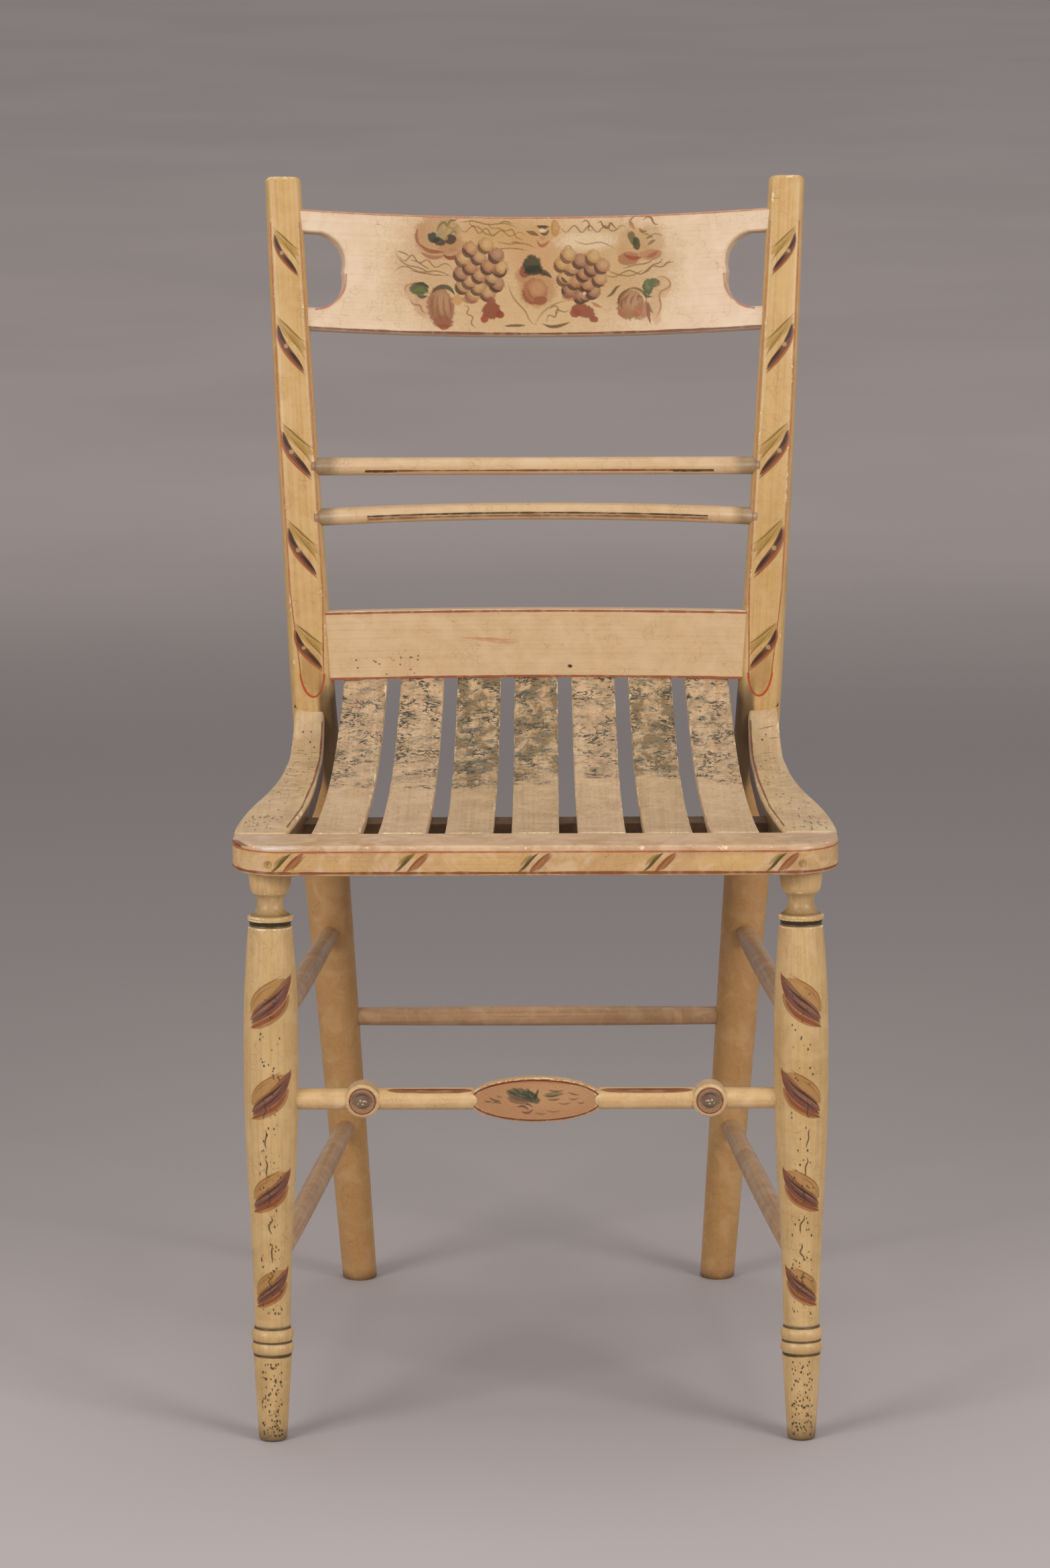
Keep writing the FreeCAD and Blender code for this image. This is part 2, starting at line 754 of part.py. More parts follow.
# Front rail of the seat: rounded front corners, a nosing, and a ledge behind for the slats.
rail_body = new_body("front_rail_board")
rail_sketch = new_sketch("front_rail_plan", "XY_Plane", rail_body)
corner = s.front_rail_corner
bulge = corner * (Measure.of(1) - Measure.of(45).sine())
outline(rail_sketch, [
    (corner - half_seat, zero),
    (half_seat - corner, zero),
    ("via", half_seat - bulge, bulge),
    (half_seat, corner),
    (half_seat, s.front_rail_depth),
    (-half_seat, s.front_rail_depth),
    (-half_seat, corner),
    ("via", bulge - half_seat, bulge),
])
rail_pad = pad(rail_body, "front_rail_solid", rail_sketch, s.front_rail_thick)
ledge_sketch = new_sketch("front_rail_ledge_side", "YZ_Plane", rail_body)
outline(ledge_sketch, [
    (slat_front, s.front_rail_thick - s.slat_thick),
    (s.front_rail_depth + s.overrun, s.front_rail_thick - s.slat_thick),
    (s.front_rail_depth + s.overrun, s.front_rail_thick + s.overrun),
    (slat_front, s.front_rail_thick + s.overrun),
])
ledge_cut = cut_through(rail_body, "front_rail_rabbet", ledge_sketch)
doc.recompute()


def front_edges(shape, height, limit):
    """Names of the level edges at one height, all of them ahead of a depth."""
    names = []
    for index, edge in enumerate(shape.Edges, start=1):
        box = edge.BoundBox
        level = abs(box.ZMin - height) + abs(box.ZMax - height) < HAIR
        if level and box.YMax < limit:
            names.append("Edge%d" % index)
    return names


nosing = rail_body.newObject("PartDesign::Fillet", "front_rail_nosing")
nosing.Base = (ledge_cut, front_edges(ledge_cut.Shape, s.front_rail_thick.size, corner.size + HAIR))
bind(nosing, "Radius", s.front_rail_nosing)
doc.recompute()
under = rail_body.newObject("PartDesign::Fillet", "front_rail_lower_round")
under.Base = (nosing, front_edges(nosing.Shape, 0.0, corner.size + HAIR))
bind(under, "Radius", s.front_rail_lower_round)
place(rail_body, zero, front, rail_underside)
pieces["front_rail"] = carve("front_rail", rail_body, [tenon, tenon_left, pieces["leg_pins"], slat_nails])

# The slats bed on the ledge and the batten, and the lower rail of the back is notched over their ends.
slat_shapes = []
for number, blank in enumerate(slats):
    bedded_on = [batten_blank, pieces["front_rail"], slat_nails]
    right = carve("seat_slat_%d" % (middle_slat + number), blank, bedded_on)
    pieces[right.Name] = right
    slat_shapes.append(right)
    if number:
        left = mirror("seat_slat_%d" % (middle_slat - number), right)
        pieces[left.Name] = left
        slat_shapes.append(left)

pieces["seat_batten"] = carve("seat_batten", batten_blank, [slat_nails])
pieces["lower_back_rail"] = carve("lower_back_rail", low_rail_body, slat_shapes + [slat_nails])

# Points on the axis of the rear post, which is straight between these heights.
knee_height = s.seat_height - s.post_knee_drop
post_foot = (s.post_foot_x, front + s.post_foot_y, zero)
post_knee = (s.post_knee_x, front + s.post_knee_y, knee_height)


def on_post(height):
    """Point of the rear post's axis at a height between the floor and the knee."""
    share = height / knee_height
    return tuple(a + (b - a) * share for a, b in zip(post_foot, post_knee))


def stretcher(name, start, end, dia, end_dia):
    """A turned bar between two leg axes, a little fuller in the middle."""
    body = new_body(name + "_turning")
    length = span(start, end)
    revolve(body, name + "_turned", [
        (zero, zero),
        (end_dia / 2, zero),
        ("via", dia / 2, length / 2),
        (end_dia / 2, length),
        (zero, length),
    ])
    aim(body, start, end)
    return body


for level, rear_share, front_share in (
        ("upper", s.upper_stretcher_rear_share, s.upper_stretcher_front_share),
        ("lower", s.lower_stretcher_rear_share, s.lower_stretcher_front_share)):
    name = "side_stretcher_%s_right" % level
    pieces[name] = stretcher(name, on_leg(s.seat_height * front_share), on_post(s.seat_height * rear_share),
                             s.stretcher_dia, s.stretcher_end_dia)
    other = "side_stretcher_%s_left" % level
    pieces[other] = mirror(other, pieces[name])


def other_side(point):
    """The same point on the left of the chair."""
    return (-point[0],) + point[1:]


rear_ends = on_post(s.seat_height * s.rear_stretcher_share)
pieces["rear_stretcher"] = stretcher("rear_stretcher", other_side(rear_ends), rear_ends,
                                     s.rear_stretcher_dia, s.rear_stretcher_end_dia)

# Front stretcher: a round bar with an oval plaque in the middle and a roundel on each side.
front_stretcher_z = s.seat_height * s.front_stretcher_share
front_ends = on_leg(front_stretcher_z)
front_bar = stretcher("front_stretcher_bar", other_side(front_ends), front_ends,
                      s.front_stretcher_dia, s.front_stretcher_end_dia)
bar_y = front_ends[1]


def ellipse_plate(name):
    """The oval plaque, with its front edge eased."""
    body = new_body(name)
    sketch = new_sketch(name + "_outline", "XZ_Plane", body)
    centre = FreeCAD.Vector(0, 0, 0)
    along = (s.plaque_length / 2, s.plaque_height / 2)
    shape = Part.Ellipse(centre, along[0].size, along[1].size)
    index = sketch.addGeometry(shape, False)
    sketch.exposeInternalGeometry(index)
    sketch.addConstraint(Sketcher.Constraint("Coincident", index, 3, -1, 1))
    for axis, reach, kind in ((index + 1, along[0], "DistanceX"), (index + 2, along[1], "DistanceY")):
        label = "reach%d" % axis
        ends = [sketch.Geometry[axis].StartPoint, sketch.Geometry[axis].EndPoint]
        far = 1 if ends[0].x + ends[0].y > ends[1].x + ends[1].y else 2
        number = sketch.addConstraint(Sketcher.Constraint(kind, -1, 1, axis, far, reach.size))
        sketch.renameConstraint(number, label)
        bind(sketch, "Constraints.%s" % label, reach)
    sketch.addConstraint(Sketcher.Constraint("Horizontal", index + 1))
    plate = pad(body, name + "_plate", sketch, s.plaque_thick, symmetric=True)
    doc.recompute()
    eased = body.newObject("PartDesign::Fillet", name + "_eased")
    names = [n for n, e in enumerate(plate.Shape.Edges, start=1) if e.BoundBox.YLength < HAIR]
    eased.Base = (plate, ["Edge%d" % n for n in names])
    bind(eased, "Radius", s.plaque_round)
    return body


plaque = ellipse_plate("plaque")
place(plaque, zero, bar_y - s.plaque_forward, front_stretcher_z)


def roundel(name, sign):
    """A round boss across the bar, its face turned to a shallow dish inside a rim."""
    body = new_body(name)
    half = s.roundel_thick / 2
    revolve(body, name + "_turned", [
        (zero, -half),
        (s.roundel_dia / 2 - s.roundel_bevel, -half),
        (s.roundel_dia / 2, s.roundel_bevel - half),
        (s.roundel_dia / 2, half - s.roundel_bevel),
        (s.roundel_dia / 2 - s.roundel_bevel, half),
        (s.roundel_dish_dia / 2, half),
        (s.roundel_dish_dia / 2 - s.roundel_dish_depth, half - s.roundel_dish_depth),
        (zero, half - s.roundel_dish_depth),
    ])
    body.Placement.Rotation = FreeCAD.Rotation(FreeCAD.Vector(1, 0, 0), 90)
    place(body, sign * s.roundel_x, bar_y, front_stretcher_z)
    return body


front_stretcher = doc.addObject("Part::MultiFuse", "front_stretcher")
front_stretcher.Shapes = [front_bar, plaque, roundel("roundel_right", 1), roundel("roundel_left", -1)]
pieces["front_stretcher"] = front_stretcher

# Crest rail: a bowed board that leans back, with a hand hold cut in beside each post.
crest_body, crest_board = bowed_board("crest", s.crest_thick, s.crest_height,
                                      s.crest_chord, s.crest_bow, s.crest_half_length)
place(crest_body, zero, front + crest_end_y + s.crest_bow * crest_lean.cosine(),
      crest_height_z - s.crest_bow * crest_lean.sine())
lean_back(crest_body, crest_lean)
cusp_z = (s.notch_top + s.notch_bottom) / 2
notch_end = s.crest_half_length + s.crest_thick
crest_last = crest_board
for sign, word in ((1, "right"), (-1, "left")):
    sketch = new_sketch("notch_%s_outline" % word, "XZ_Plane", crest_body)
    outline(sketch, [
        (sign * notch_end, s.notch_top),
        (sign * s.notch_reach_x, s.notch_top),
        ("via", sign * s.notch_lobe_x, s.notch_top - s.notch_lobe_inset),
        (sign * s.notch_cusp_x, cusp_z),
        ("via", sign * s.notch_lobe_x, s.notch_bottom + s.notch_lobe_inset),
        (sign * s.notch_reach_x, s.notch_bottom),
        (sign * notch_end, s.notch_bottom),
    ])
    crest_last = cut_through(crest_body, "notch_%s" % word, sketch)
doc.recompute()
long_edges = [n for n, e in enumerate(crest_last.Shape.Edges, start=1)
              if e.BoundBox.XLength > s.crest_half_length.size]
crest_soft = crest_body.newObject("PartDesign::Fillet", "crest_soft_edges")
crest_soft.Base = (crest_last, ["Edge%d" % n for n in long_edges])
bind(crest_soft, "Radius", s.crest_round)
pieces["crest_rail"] = crest_body

# Spindles: round bars bowed backwards, each a turn of a circle about an upright axis ahead of it.


def spindle(name, share, dia, bow, chord, lean):
    """A bar at a share of the back's height, its ends in the middle of the posts."""
    height = s.seat_height + back_height * share
    depth = stile_face(height) + s.spindle_setback
    radius = arc_radius(chord, bow)
    body = new_body(name)
    sketch = new_sketch(name + "_section", "YZ_Plane", body)
    circle(sketch, (radius, zero), dia / 2)
    bar = body.newObject("PartDesign::Revolution", name + "_bar")
    bar.Profile = sketch
    bar.ReferenceAxis = (sketch, ["V_Axis"])
    bar.Midplane = True
    bind(bar, "Angle", 2 * ((chord + s.spindle_tenon) / radius).arcsine())
    shift = radius - bow
    place(body, zero, front + depth - shift * lean.cosine(), height + shift * lean.sine())
    lean_back(body, lean)
    return body


pieces["back_spindle_upper"] = spindle("back_spindle_upper", s.upper_spindle_share, s.upper_spindle_dia,
                                       s.upper_spindle_bow, s.upper_spindle_chord, s.upper_spindle_lean)
pieces["back_spindle_lower"] = spindle("back_spindle_lower", s.lower_spindle_share, s.lower_spindle_dia,
                                       s.lower_spindle_bow, s.lower_spindle_chord, s.lower_spindle_lean)

# Rear posts: one bent piece each, round below the seat, flattened and leaning back above it.
post_body = new_body("post_shape")


def rounded_section(name, x, y, z, lean, width, thick, round_radius, crown):
    """A rounded oblong across the post, square to its run."""
    sketch = new_sketch(name, "XY_Plane", post_body)
    sketch.AttachmentOffset = FreeCAD.Placement(
        FreeCAD.Vector(x.size, y.size, z.size), FreeCAD.Rotation(FreeCAD.Vector(1, 0, 0), -lean.size))
    place(sketch, x, y, z, prop="AttachmentOffset")
    bind(sketch, "AttachmentOffset.Rotation.Angle", -lean)
    a = width / 2
    b = thick / 2
    side = a - round_radius
    face = b - crown
    outline(sketch, [
        (-side, -face),
        ("via", zero, -b),
        (side, -face),
        ("via", a, zero),
        (side, face),
        ("via", zero, b),
        (-side, face),
        ("via", -a, zero),
    ])
    return sketch


leg_lean = -((s.post_foot_y - s.post_knee_y) / knee_height).arcsine()
round_part = (Measure.of(1) - Measure.of(45).sine()) / 2
sections = []
LEG_SHARES = (-0.02, 0.18, 0.39, 0.6, 0.8, 1.0)
for number, share in enumerate(LEG_SHARES):
    x, y, z = (a + (b - a) * share for a, b in zip(
        (s.post_foot_x, s.post_foot_y, zero), (s.post_knee_x, s.post_knee_y, knee_height)))
    dia = s.post_foot_dia + (s.post_knee_dia - s.post_foot_dia) * share
    sections.append(rounded_section("post_section_leg%d" % number, x, y, z, leg_lean,
                                    dia, dia, dia * round_part, dia * round_part))
dia = s.post_seat_dia
sections.append(rounded_section("post_section_seat", s.post_seat_x, s.post_seat_y,
                                s.seat_height - s.post_seat_drop, leg_lean / 2,
                                dia, dia, dia * round_part, dia * round_part))
head_tilt = stile_lean(s.overall_height - s.post_cap_height)
cap_reach = s.post_head_thick / 2 - s.post_cap_inset
head_z = s.overall_height - s.post_cap_height * head_tilt.cosine() - cap_reach * head_tilt.sine()
STILE_SHARES = (0, 0.17, 0.42, 0.57, 0.71, 0.86, 1)
for number, share in enumerate(STILE_SHARES):
    z = lap_height + (head_z - lap_height) * share
    lean = head_tilt if share == STILE_SHARES[-1] else stile_lean(z)
    width = s.post_lap_width + (s.post_head_width - s.post_lap_width) * share
    thick = s.post_lap_thick + (s.post_head_thick - s.post_lap_thick) * share
    x = s.post_lap_x + (s.post_head_x - s.post_lap_x) * share
    y = stile_face(z) + thick / 2 * lean.cosine()
    sections.append(rounded_section("post_section_stile%d" % number, x, y, z, lean,
                                    width, thick, s.post_corner_radius, s.post_crown))
post_loft = post_body.newObject("PartDesign::AdditiveLoft", "post_bent")
post_loft.Profile = sections[0]
post_loft.Sections = sections[1:]
post_loft.Ruled = False

# The top of the post is eased all round by a low cap that draws in towards its tip.
cap_middle_share = 0.6
cap_middle_inset_share = 0.28
cap_round_share = 0.5
cap_crown_share = 0.2
head_y = stile_face(head_z) + s.post_head_thick / 2 * head_tilt.cosine()
caps = []
for word, rise_share, inset_share in (("base", 0, 0), ("middle", cap_middle_share, cap_middle_inset_share),
                                      ("tip", 1, 1)):
    rise = s.post_cap_height * rise_share
    inset = s.post_cap_inset * inset_share
    caps.append(rounded_section("post_cap_" + word, s.post_head_x, head_y + rise * head_tilt.sine(),
                                head_z + rise * head_tilt.cosine(), head_tilt,
                                s.post_head_width - 2 * inset, s.post_head_thick - 2 * inset,
                                s.post_corner_radius - inset * cap_round_share,
                                s.post_crown - inset * cap_crown_share))
post_cap = post_body.newObject("PartDesign::AdditiveLoft", "post_cap")
post_cap.Profile = caps[0]
post_cap.Sections = caps[1:]
post_cap.Ruled = True
place(post_body, zero, front, zero)

pieces["rear_post_right"] = carve("rear_post_right", post_body, [
    floor, pieces["side_rail_right"], pieces["side_rail_nails"], pieces["lower_back_rail"],
    pieces["back_spindle_upper"], pieces["back_spindle_lower"], pieces["crest_rail"],
    pieces["rear_stretcher"], pieces["side_stretcher_upper_right"], pieces["side_stretcher_lower_right"]])
pieces["rear_post_left"] = mirror("rear_post_left", pieces["rear_post_right"])
pieces["front_leg_right"] = carve("front_leg_right", leg_body, [
    floor, pieces["front_rail"], pieces["leg_pins"], pieces["front_stretcher"],
    pieces["side_stretcher_upper_right"], pieces["side_stretcher_lower_right"]])
pieces["front_leg_left"] = mirror("front_leg_left", pieces["front_leg_right"])

doc.recompute()

for thing in doc.Objects:
    if "Invalid" in thing.State or "Error" in thing.State:
        raise RuntimeError("%s failed: %s" % (thing.Name, thing.State))
for name, piece in pieces.items():
    piece.Label = name
    if piece.Shape.isNull() or not piece.Shape.isValid():
        raise RuntimeError("%s has no valid shape" % name)

os.makedirs("parts", exist_ok=True)
whole = FreeCAD.BoundBox()
for name, piece in sorted(pieces.items()):
    piece.Shape.exportStep("parts/%s.step" % name)
    whole.add(piece.Shape.optimalBoundingBox(True, False))
    print("%-28s solids %2d  volume %9.0f" % (name, len(piece.Shape.Solids), piece.Shape.Volume))
print("box x %.1f..%.1f  y %.1f..%.1f  z %.1f..%.1f" % (
    whole.XMin, whole.XMax, whole.YMin, whole.YMax, whole.ZMin, whole.ZMax))
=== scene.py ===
"""Looks of a stenciled and painted side chair with a slatted seat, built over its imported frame.

Lengths in the classes are millimetres, measured from the middle of the seat's front edge at floor
level: x to the right, y towards the back, z up. They become metres when a mesh is made.
"""

import logging
import math
from collections.abc import Callable, Sequence
from dataclasses import dataclass, field
from enum import Enum
from typing import Any

import bpy
import numpy as np
from mathutils import Matrix, Vector
from mathutils.geometry import delaunay_2d_cdt

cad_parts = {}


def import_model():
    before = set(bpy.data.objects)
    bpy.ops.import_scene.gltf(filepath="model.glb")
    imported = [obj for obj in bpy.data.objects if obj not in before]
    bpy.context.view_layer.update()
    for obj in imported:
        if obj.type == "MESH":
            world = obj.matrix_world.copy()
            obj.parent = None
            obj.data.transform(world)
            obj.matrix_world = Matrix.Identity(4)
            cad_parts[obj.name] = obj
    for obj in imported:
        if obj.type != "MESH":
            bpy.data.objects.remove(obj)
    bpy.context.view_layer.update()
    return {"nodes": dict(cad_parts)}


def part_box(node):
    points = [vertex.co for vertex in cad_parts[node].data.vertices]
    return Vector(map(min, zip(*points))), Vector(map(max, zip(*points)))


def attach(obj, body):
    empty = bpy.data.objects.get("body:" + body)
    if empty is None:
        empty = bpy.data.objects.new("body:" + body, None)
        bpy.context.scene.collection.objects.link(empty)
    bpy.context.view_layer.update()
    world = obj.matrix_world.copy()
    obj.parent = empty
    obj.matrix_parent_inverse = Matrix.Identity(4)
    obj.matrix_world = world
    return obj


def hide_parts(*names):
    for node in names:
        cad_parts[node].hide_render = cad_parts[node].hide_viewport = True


LOG = logging.getLogger("chair")
# a millimetre in metres, and the seat's height in millimetres
MM = 0.001
SEAT_TOP = 440.0
Array = np.ndarray
Pair = tuple[float, float]
Triple = tuple[float, float, float]
Surface = Callable[[Array, Array, float], Array]


class Side(Enum):
    """The two sides of the chair, as signs of x."""

    LEFT = -1
    RIGHT = 1

    @property
    def word(self) -> str:
        """The side's name in lower case."""
        return self.name.lower()


# ---------------------------------------------------------------- lines and curves


class Via(tuple):
    """A point that the arc between its two neighbours passes through."""


def distances(line: Array) -> Array:
    """How far along a line each of its points is."""
    return np.concatenate([[0], np.cumsum(np.linalg.norm(np.diff(line, axis=0), axis=1))])


def read(at: Array, places: Array, values: Array) -> Array:
    """Each column of the values, known at rising places, read between them."""
    return np.stack([np.interp(at, places, column) for column in values.T], -1)


def lerp(a: Sequence[float], b: Sequence[float], share: float | Array) -> Array:
    """The point at a share of the way from one point to another."""
    a = np.asarray(a, float)
    return a + (np.asarray(b, float) - a) * share


def unit(vectors: Array) -> Array:
    """Each vector at a length of one."""
    return vectors / np.linalg.norm(vectors, axis=1)[:, None]


def level(first: float, last: float, up: float, count: int) -> Array:
    """An even line across, all of it at one height."""
    return np.stack([np.linspace(first, last, count), np.full(count, up)], 1)


def spline(knots: Sequence[float], values: Sequence[float], at: Array) -> Array:
    """A natural cubic spline: cubic pieces that meet with equal slope and bending at every knot.

    Args:
        knots: rising places along the curve.
        values: what the curve passes through at them, one row each.
        at: where it is wanted.

    Returns:
        The curve's values there.
    """
    x = np.asarray(knots, float)
    y = np.asarray(values, float)
    h = np.diff(x)
    matrix = np.eye(len(x))
    right = np.zeros_like(y)
    inner = np.arange(1, len(x) - 1)
    matrix[inner, inner - 1] = h[:-1]
    matrix[inner, inner] = 2 * (h[:-1] + h[1:])
    matrix[inner, inner + 1] = h[1:]
    slope = np.diff(y, axis=0) / h[:, None]
    right[1:-1] = 6 * np.diff(slope, axis=0)
    bend = np.linalg.solve(matrix, right)
    i = np.clip(np.searchsorted(x, at) - 1, 0, len(h) - 1)
    a = (x[i + 1] - at)[:, None]
    b = (at - x[i])[:, None]
    w = h[i][:, None]
    return ((bend[i] * a**3 + bend[i + 1] * b**3) / (6 * w)
            + (y[i] / w - bend[i] * w / 6) * a + (y[i + 1] / w - bend[i + 1] * w / 6) * b)


def arc(first: Array, middle: Array, last: Array, count: int) -> Array:
    """Points on the circle through three points, from the first to the last by way of the middle."""
    d = 2 * (first[0] * (middle[1] - last[1]) + middle[0] * (last[1] - first[1])
             + last[0] * (first[1] - middle[1]))
    sq = [p @ p for p in (first, middle, last)]
    centre = np.array([
        sq[0] * (middle[1] - last[1]) + sq[1] * (last[1] - first[1]) + sq[2] * (first[1] - middle[1]),
        sq[0] * (last[0] - middle[0]) + sq[1] * (first[0] - last[0]) + sq[2] * (middle[0] - first[0]),
    ]) / d
    turn = [math.atan2(*(p - centre)[::-1]) for p in (first, middle, last)]
    span = (turn[2] - turn[0]) % (2 * math.pi)
    if (turn[1] - turn[0]) % (2 * math.pi) > span:
        span -= 2 * math.pi
    t = turn[0] + span * np.linspace(0, 1, count)
    radius = np.linalg.norm(first - centre)
    return centre + radius * np.stack([np.cos(t), np.sin(t)], 1)


def trace(steps: Sequence[Pair], spacing: float, closed: bool = False) -> Array:
    """Even points along straight runs and circular arcs.

    Args:
        steps: corner points, with a Via between two of them where they are joined by an arc.
        spacing: about how far apart the points are.
        closed: whether the line returns to its first point, which isn't repeated.

    Returns:
        One row a point.
    """
    steps = list(steps) + ([steps[0]] if closed else [])
    parts = []
    index = 0
    while index < len(steps) - 1:
        first = np.array(steps[index], float)
        if isinstance(steps[index + 1], Via):
            last = np.array(steps[index + 2], float)
            run = arc(first, np.array(steps[index + 1], float), last, 200)
            index += 2
        else:
            last = np.array(steps[index + 1], float)
            run = np.stack([first, last])
            index += 1
        lengths = distances(run)
        count = max(1, round(lengths[-1] / spacing))
        wanted = np.linspace(0, lengths[-1], count + 1)[:-1]
        parts.append(read(wanted, lengths, run))
    if not closed:
        parts.append(np.array([steps[-1]], float))
    return np.concatenate(parts)


def oblong(half: float, low: float, high: float, spacing: float) -> Array:
    """A closed oblong outline, even to left and right."""
    return trace([(-half, low), (half, low), (half, high), (-half, high)], spacing, closed=True)


def arc_radius(half: float | Array, rise: float | Array) -> float | Array:
    """Radius of the arc that rises so far over a chord of that half length: (half^2 + rise^2) / (2 rise)."""
    return (half**2 + rise**2) / (2 * rise)


def softened(line: Array, reach: float) -> Array:
    """The line after each point is averaged with its neighbours by a bell curve of that many points."""
    half = int(3 * reach) + 1
    bell = np.exp(-0.5 * (np.arange(-half, half + 1) / reach) ** 2)
    bell /= bell.sum()
    padded = np.concatenate([2 * line[:1] - line[half:0:-1], line, 2 * line[-1:] - line[-2:-half - 2:-1]])
    return np.stack([np.convolve(padded[:, k], bell, "valid") for k in range(line.shape[1])], 1)


def smoothstep(low: float, high: float, value: Array) -> Array:
    """0 below low, 1 above high, and an S curve between: 3t^2 - 2t^3."""
    t = np.clip((value - low) / (high - low), 0, 1)
    return t * t * (3 - 2 * t)


def scatter(x: Array, y: Array, seed: int) -> Array:
    """Smooth noise from 0 to 1: random values on a unit grid, blended by S curves between its corners."""
    i, j = np.floor(x).astype(np.int64), np.floor(y).astype(np.int64)
    u, v = x - i, y - j
    u, v = u * u * (3 - 2 * u), v * v * (3 - 2 * v)

    def corner(a: Array, b: Array) -> Array:
        """A value from 0 to 1 that depends only on the corner."""
        n = (a * 374761393 + b * 668265263 + seed * 974634777) & 0x7FFFFFFF
        n = ((n ^ (n >> 13)) * 1274126177) & 0x7FFFFFFF
        return ((n ^ (n >> 16)) & 0xFFFF) / 65535.0

    low = corner(i, j) * (1 - u) + corner(i + 1, j) * u
    high = corner(i, j + 1) * (1 - u) + corner(i + 1, j + 1) * u
    return low * (1 - v) + high * v


# ---------------------------------------------------------------- meshes in the making


# how fast wear fades from an edge, in millimetres
RUB_REACH = 1.6


@dataclass
class Skin:
    """A surface in the making, in millimetres.

    flow holds each point's place along, across and into its piece, in metres, before the piece was bent:
    grain and brush marks follow it. rub is 1 on edges that hands and feet wear. The value after it is 1 where
    the paint darkens to grime: real dirt in hollows and at the feet, and painted shade in the gap beside the
    seat and on the side rails' inner walls.
    """

    points: Array
    faces: list[Array]
    flow: Array
    rub: Array
    soil_and_shade: Array
    paint: Array | None = None

    def mirrored(self) -> "Skin":
        """The same surface on the other side of the chair, its faces still outwards."""
        return Skin(self.points * (-1, 1, 1), [f[:, ::-1] for f in self.faces], self.flow + (0.37, 0.11, 0.05),
                    self.rub, self.soil_and_shade, self.paint)

    def on(self, side: Side) -> "Skin":
        """The surface for a side, given that it was made for the right."""
        return self if side is Side.RIGHT else self.mirrored()

    def joined(self, *others: "Skin") -> "Skin":
        """One surface out of several."""
        every = (self, *others)
        starts = np.cumsum([0] + [len(s.points) for s in every[:-1]])
        faces = [f + start for s, start in zip(every, starts) for f in s.faces]
        points, flow, rub, soil_and_shade = (np.concatenate([getattr(s, name) for s in every])
                                   for name in ("points", "flow", "rub", "soil_and_shade"))
        paint = None if self.paint is None else np.concatenate([s.paint for s in every])
        return Skin(points, faces, flow, rub, soil_and_shade, paint)


def grid_faces(rows: int, columns: int, ring: bool) -> Array:
    """Four-sided faces over a grid of points, round and round where each row is a ring."""
    i = np.arange(rows - 1)[:, None]
    j = np.arange(columns if ring else columns - 1)[None, :]
    k = (j + 1) % columns
    i, j, k = np.broadcast_arrays(i, j, k)
    i, below = i * columns, (i + 1) * columns
    return np.stack([i + j, i + k, below + k, below + j], -1).reshape(-1, 4)


def capped(rings: Array) -> tuple[Array, list[Array]]:
    """The points of rings, with one more in the middle of each end, and the faces that close them all."""
    rows, columns = rings.shape[:2]
    count = rows * columns
    points = np.concatenate([rings.reshape(-1, 3), rings[0].mean(0)[None], rings[-1].mean(0)[None]])
    j = np.arange(columns)
    k = (j + 1) % columns
    last = count - columns
    near = np.stack([np.full(columns, count), k, j], 1)
    far = np.stack([np.full(columns, count + 1), last + j, last + k], 1)
    return points, [grid_faces(rows, columns, True), near, far]


def thinned(line: Array, step: float, turn: float) -> Array:
    """The line with points only as close as its bends need.

    Its length counts once for every step, and its turning once for every turn, in radians; the points
    kept are a count of one apart.
    """
    away = np.diff(line, axis=0)
    length = np.linalg.norm(away, axis=1)
    heading = np.unwrap(np.arctan2(away[:, 1], away[:, 0]))
    bend = np.abs(np.gradient(heading))
    count = np.concatenate([[0], np.cumsum(length / step + bend / turn)])
    wanted = np.linspace(0, count[-1], int(count[-1]) + 2)
    return read(wanted, count, line)


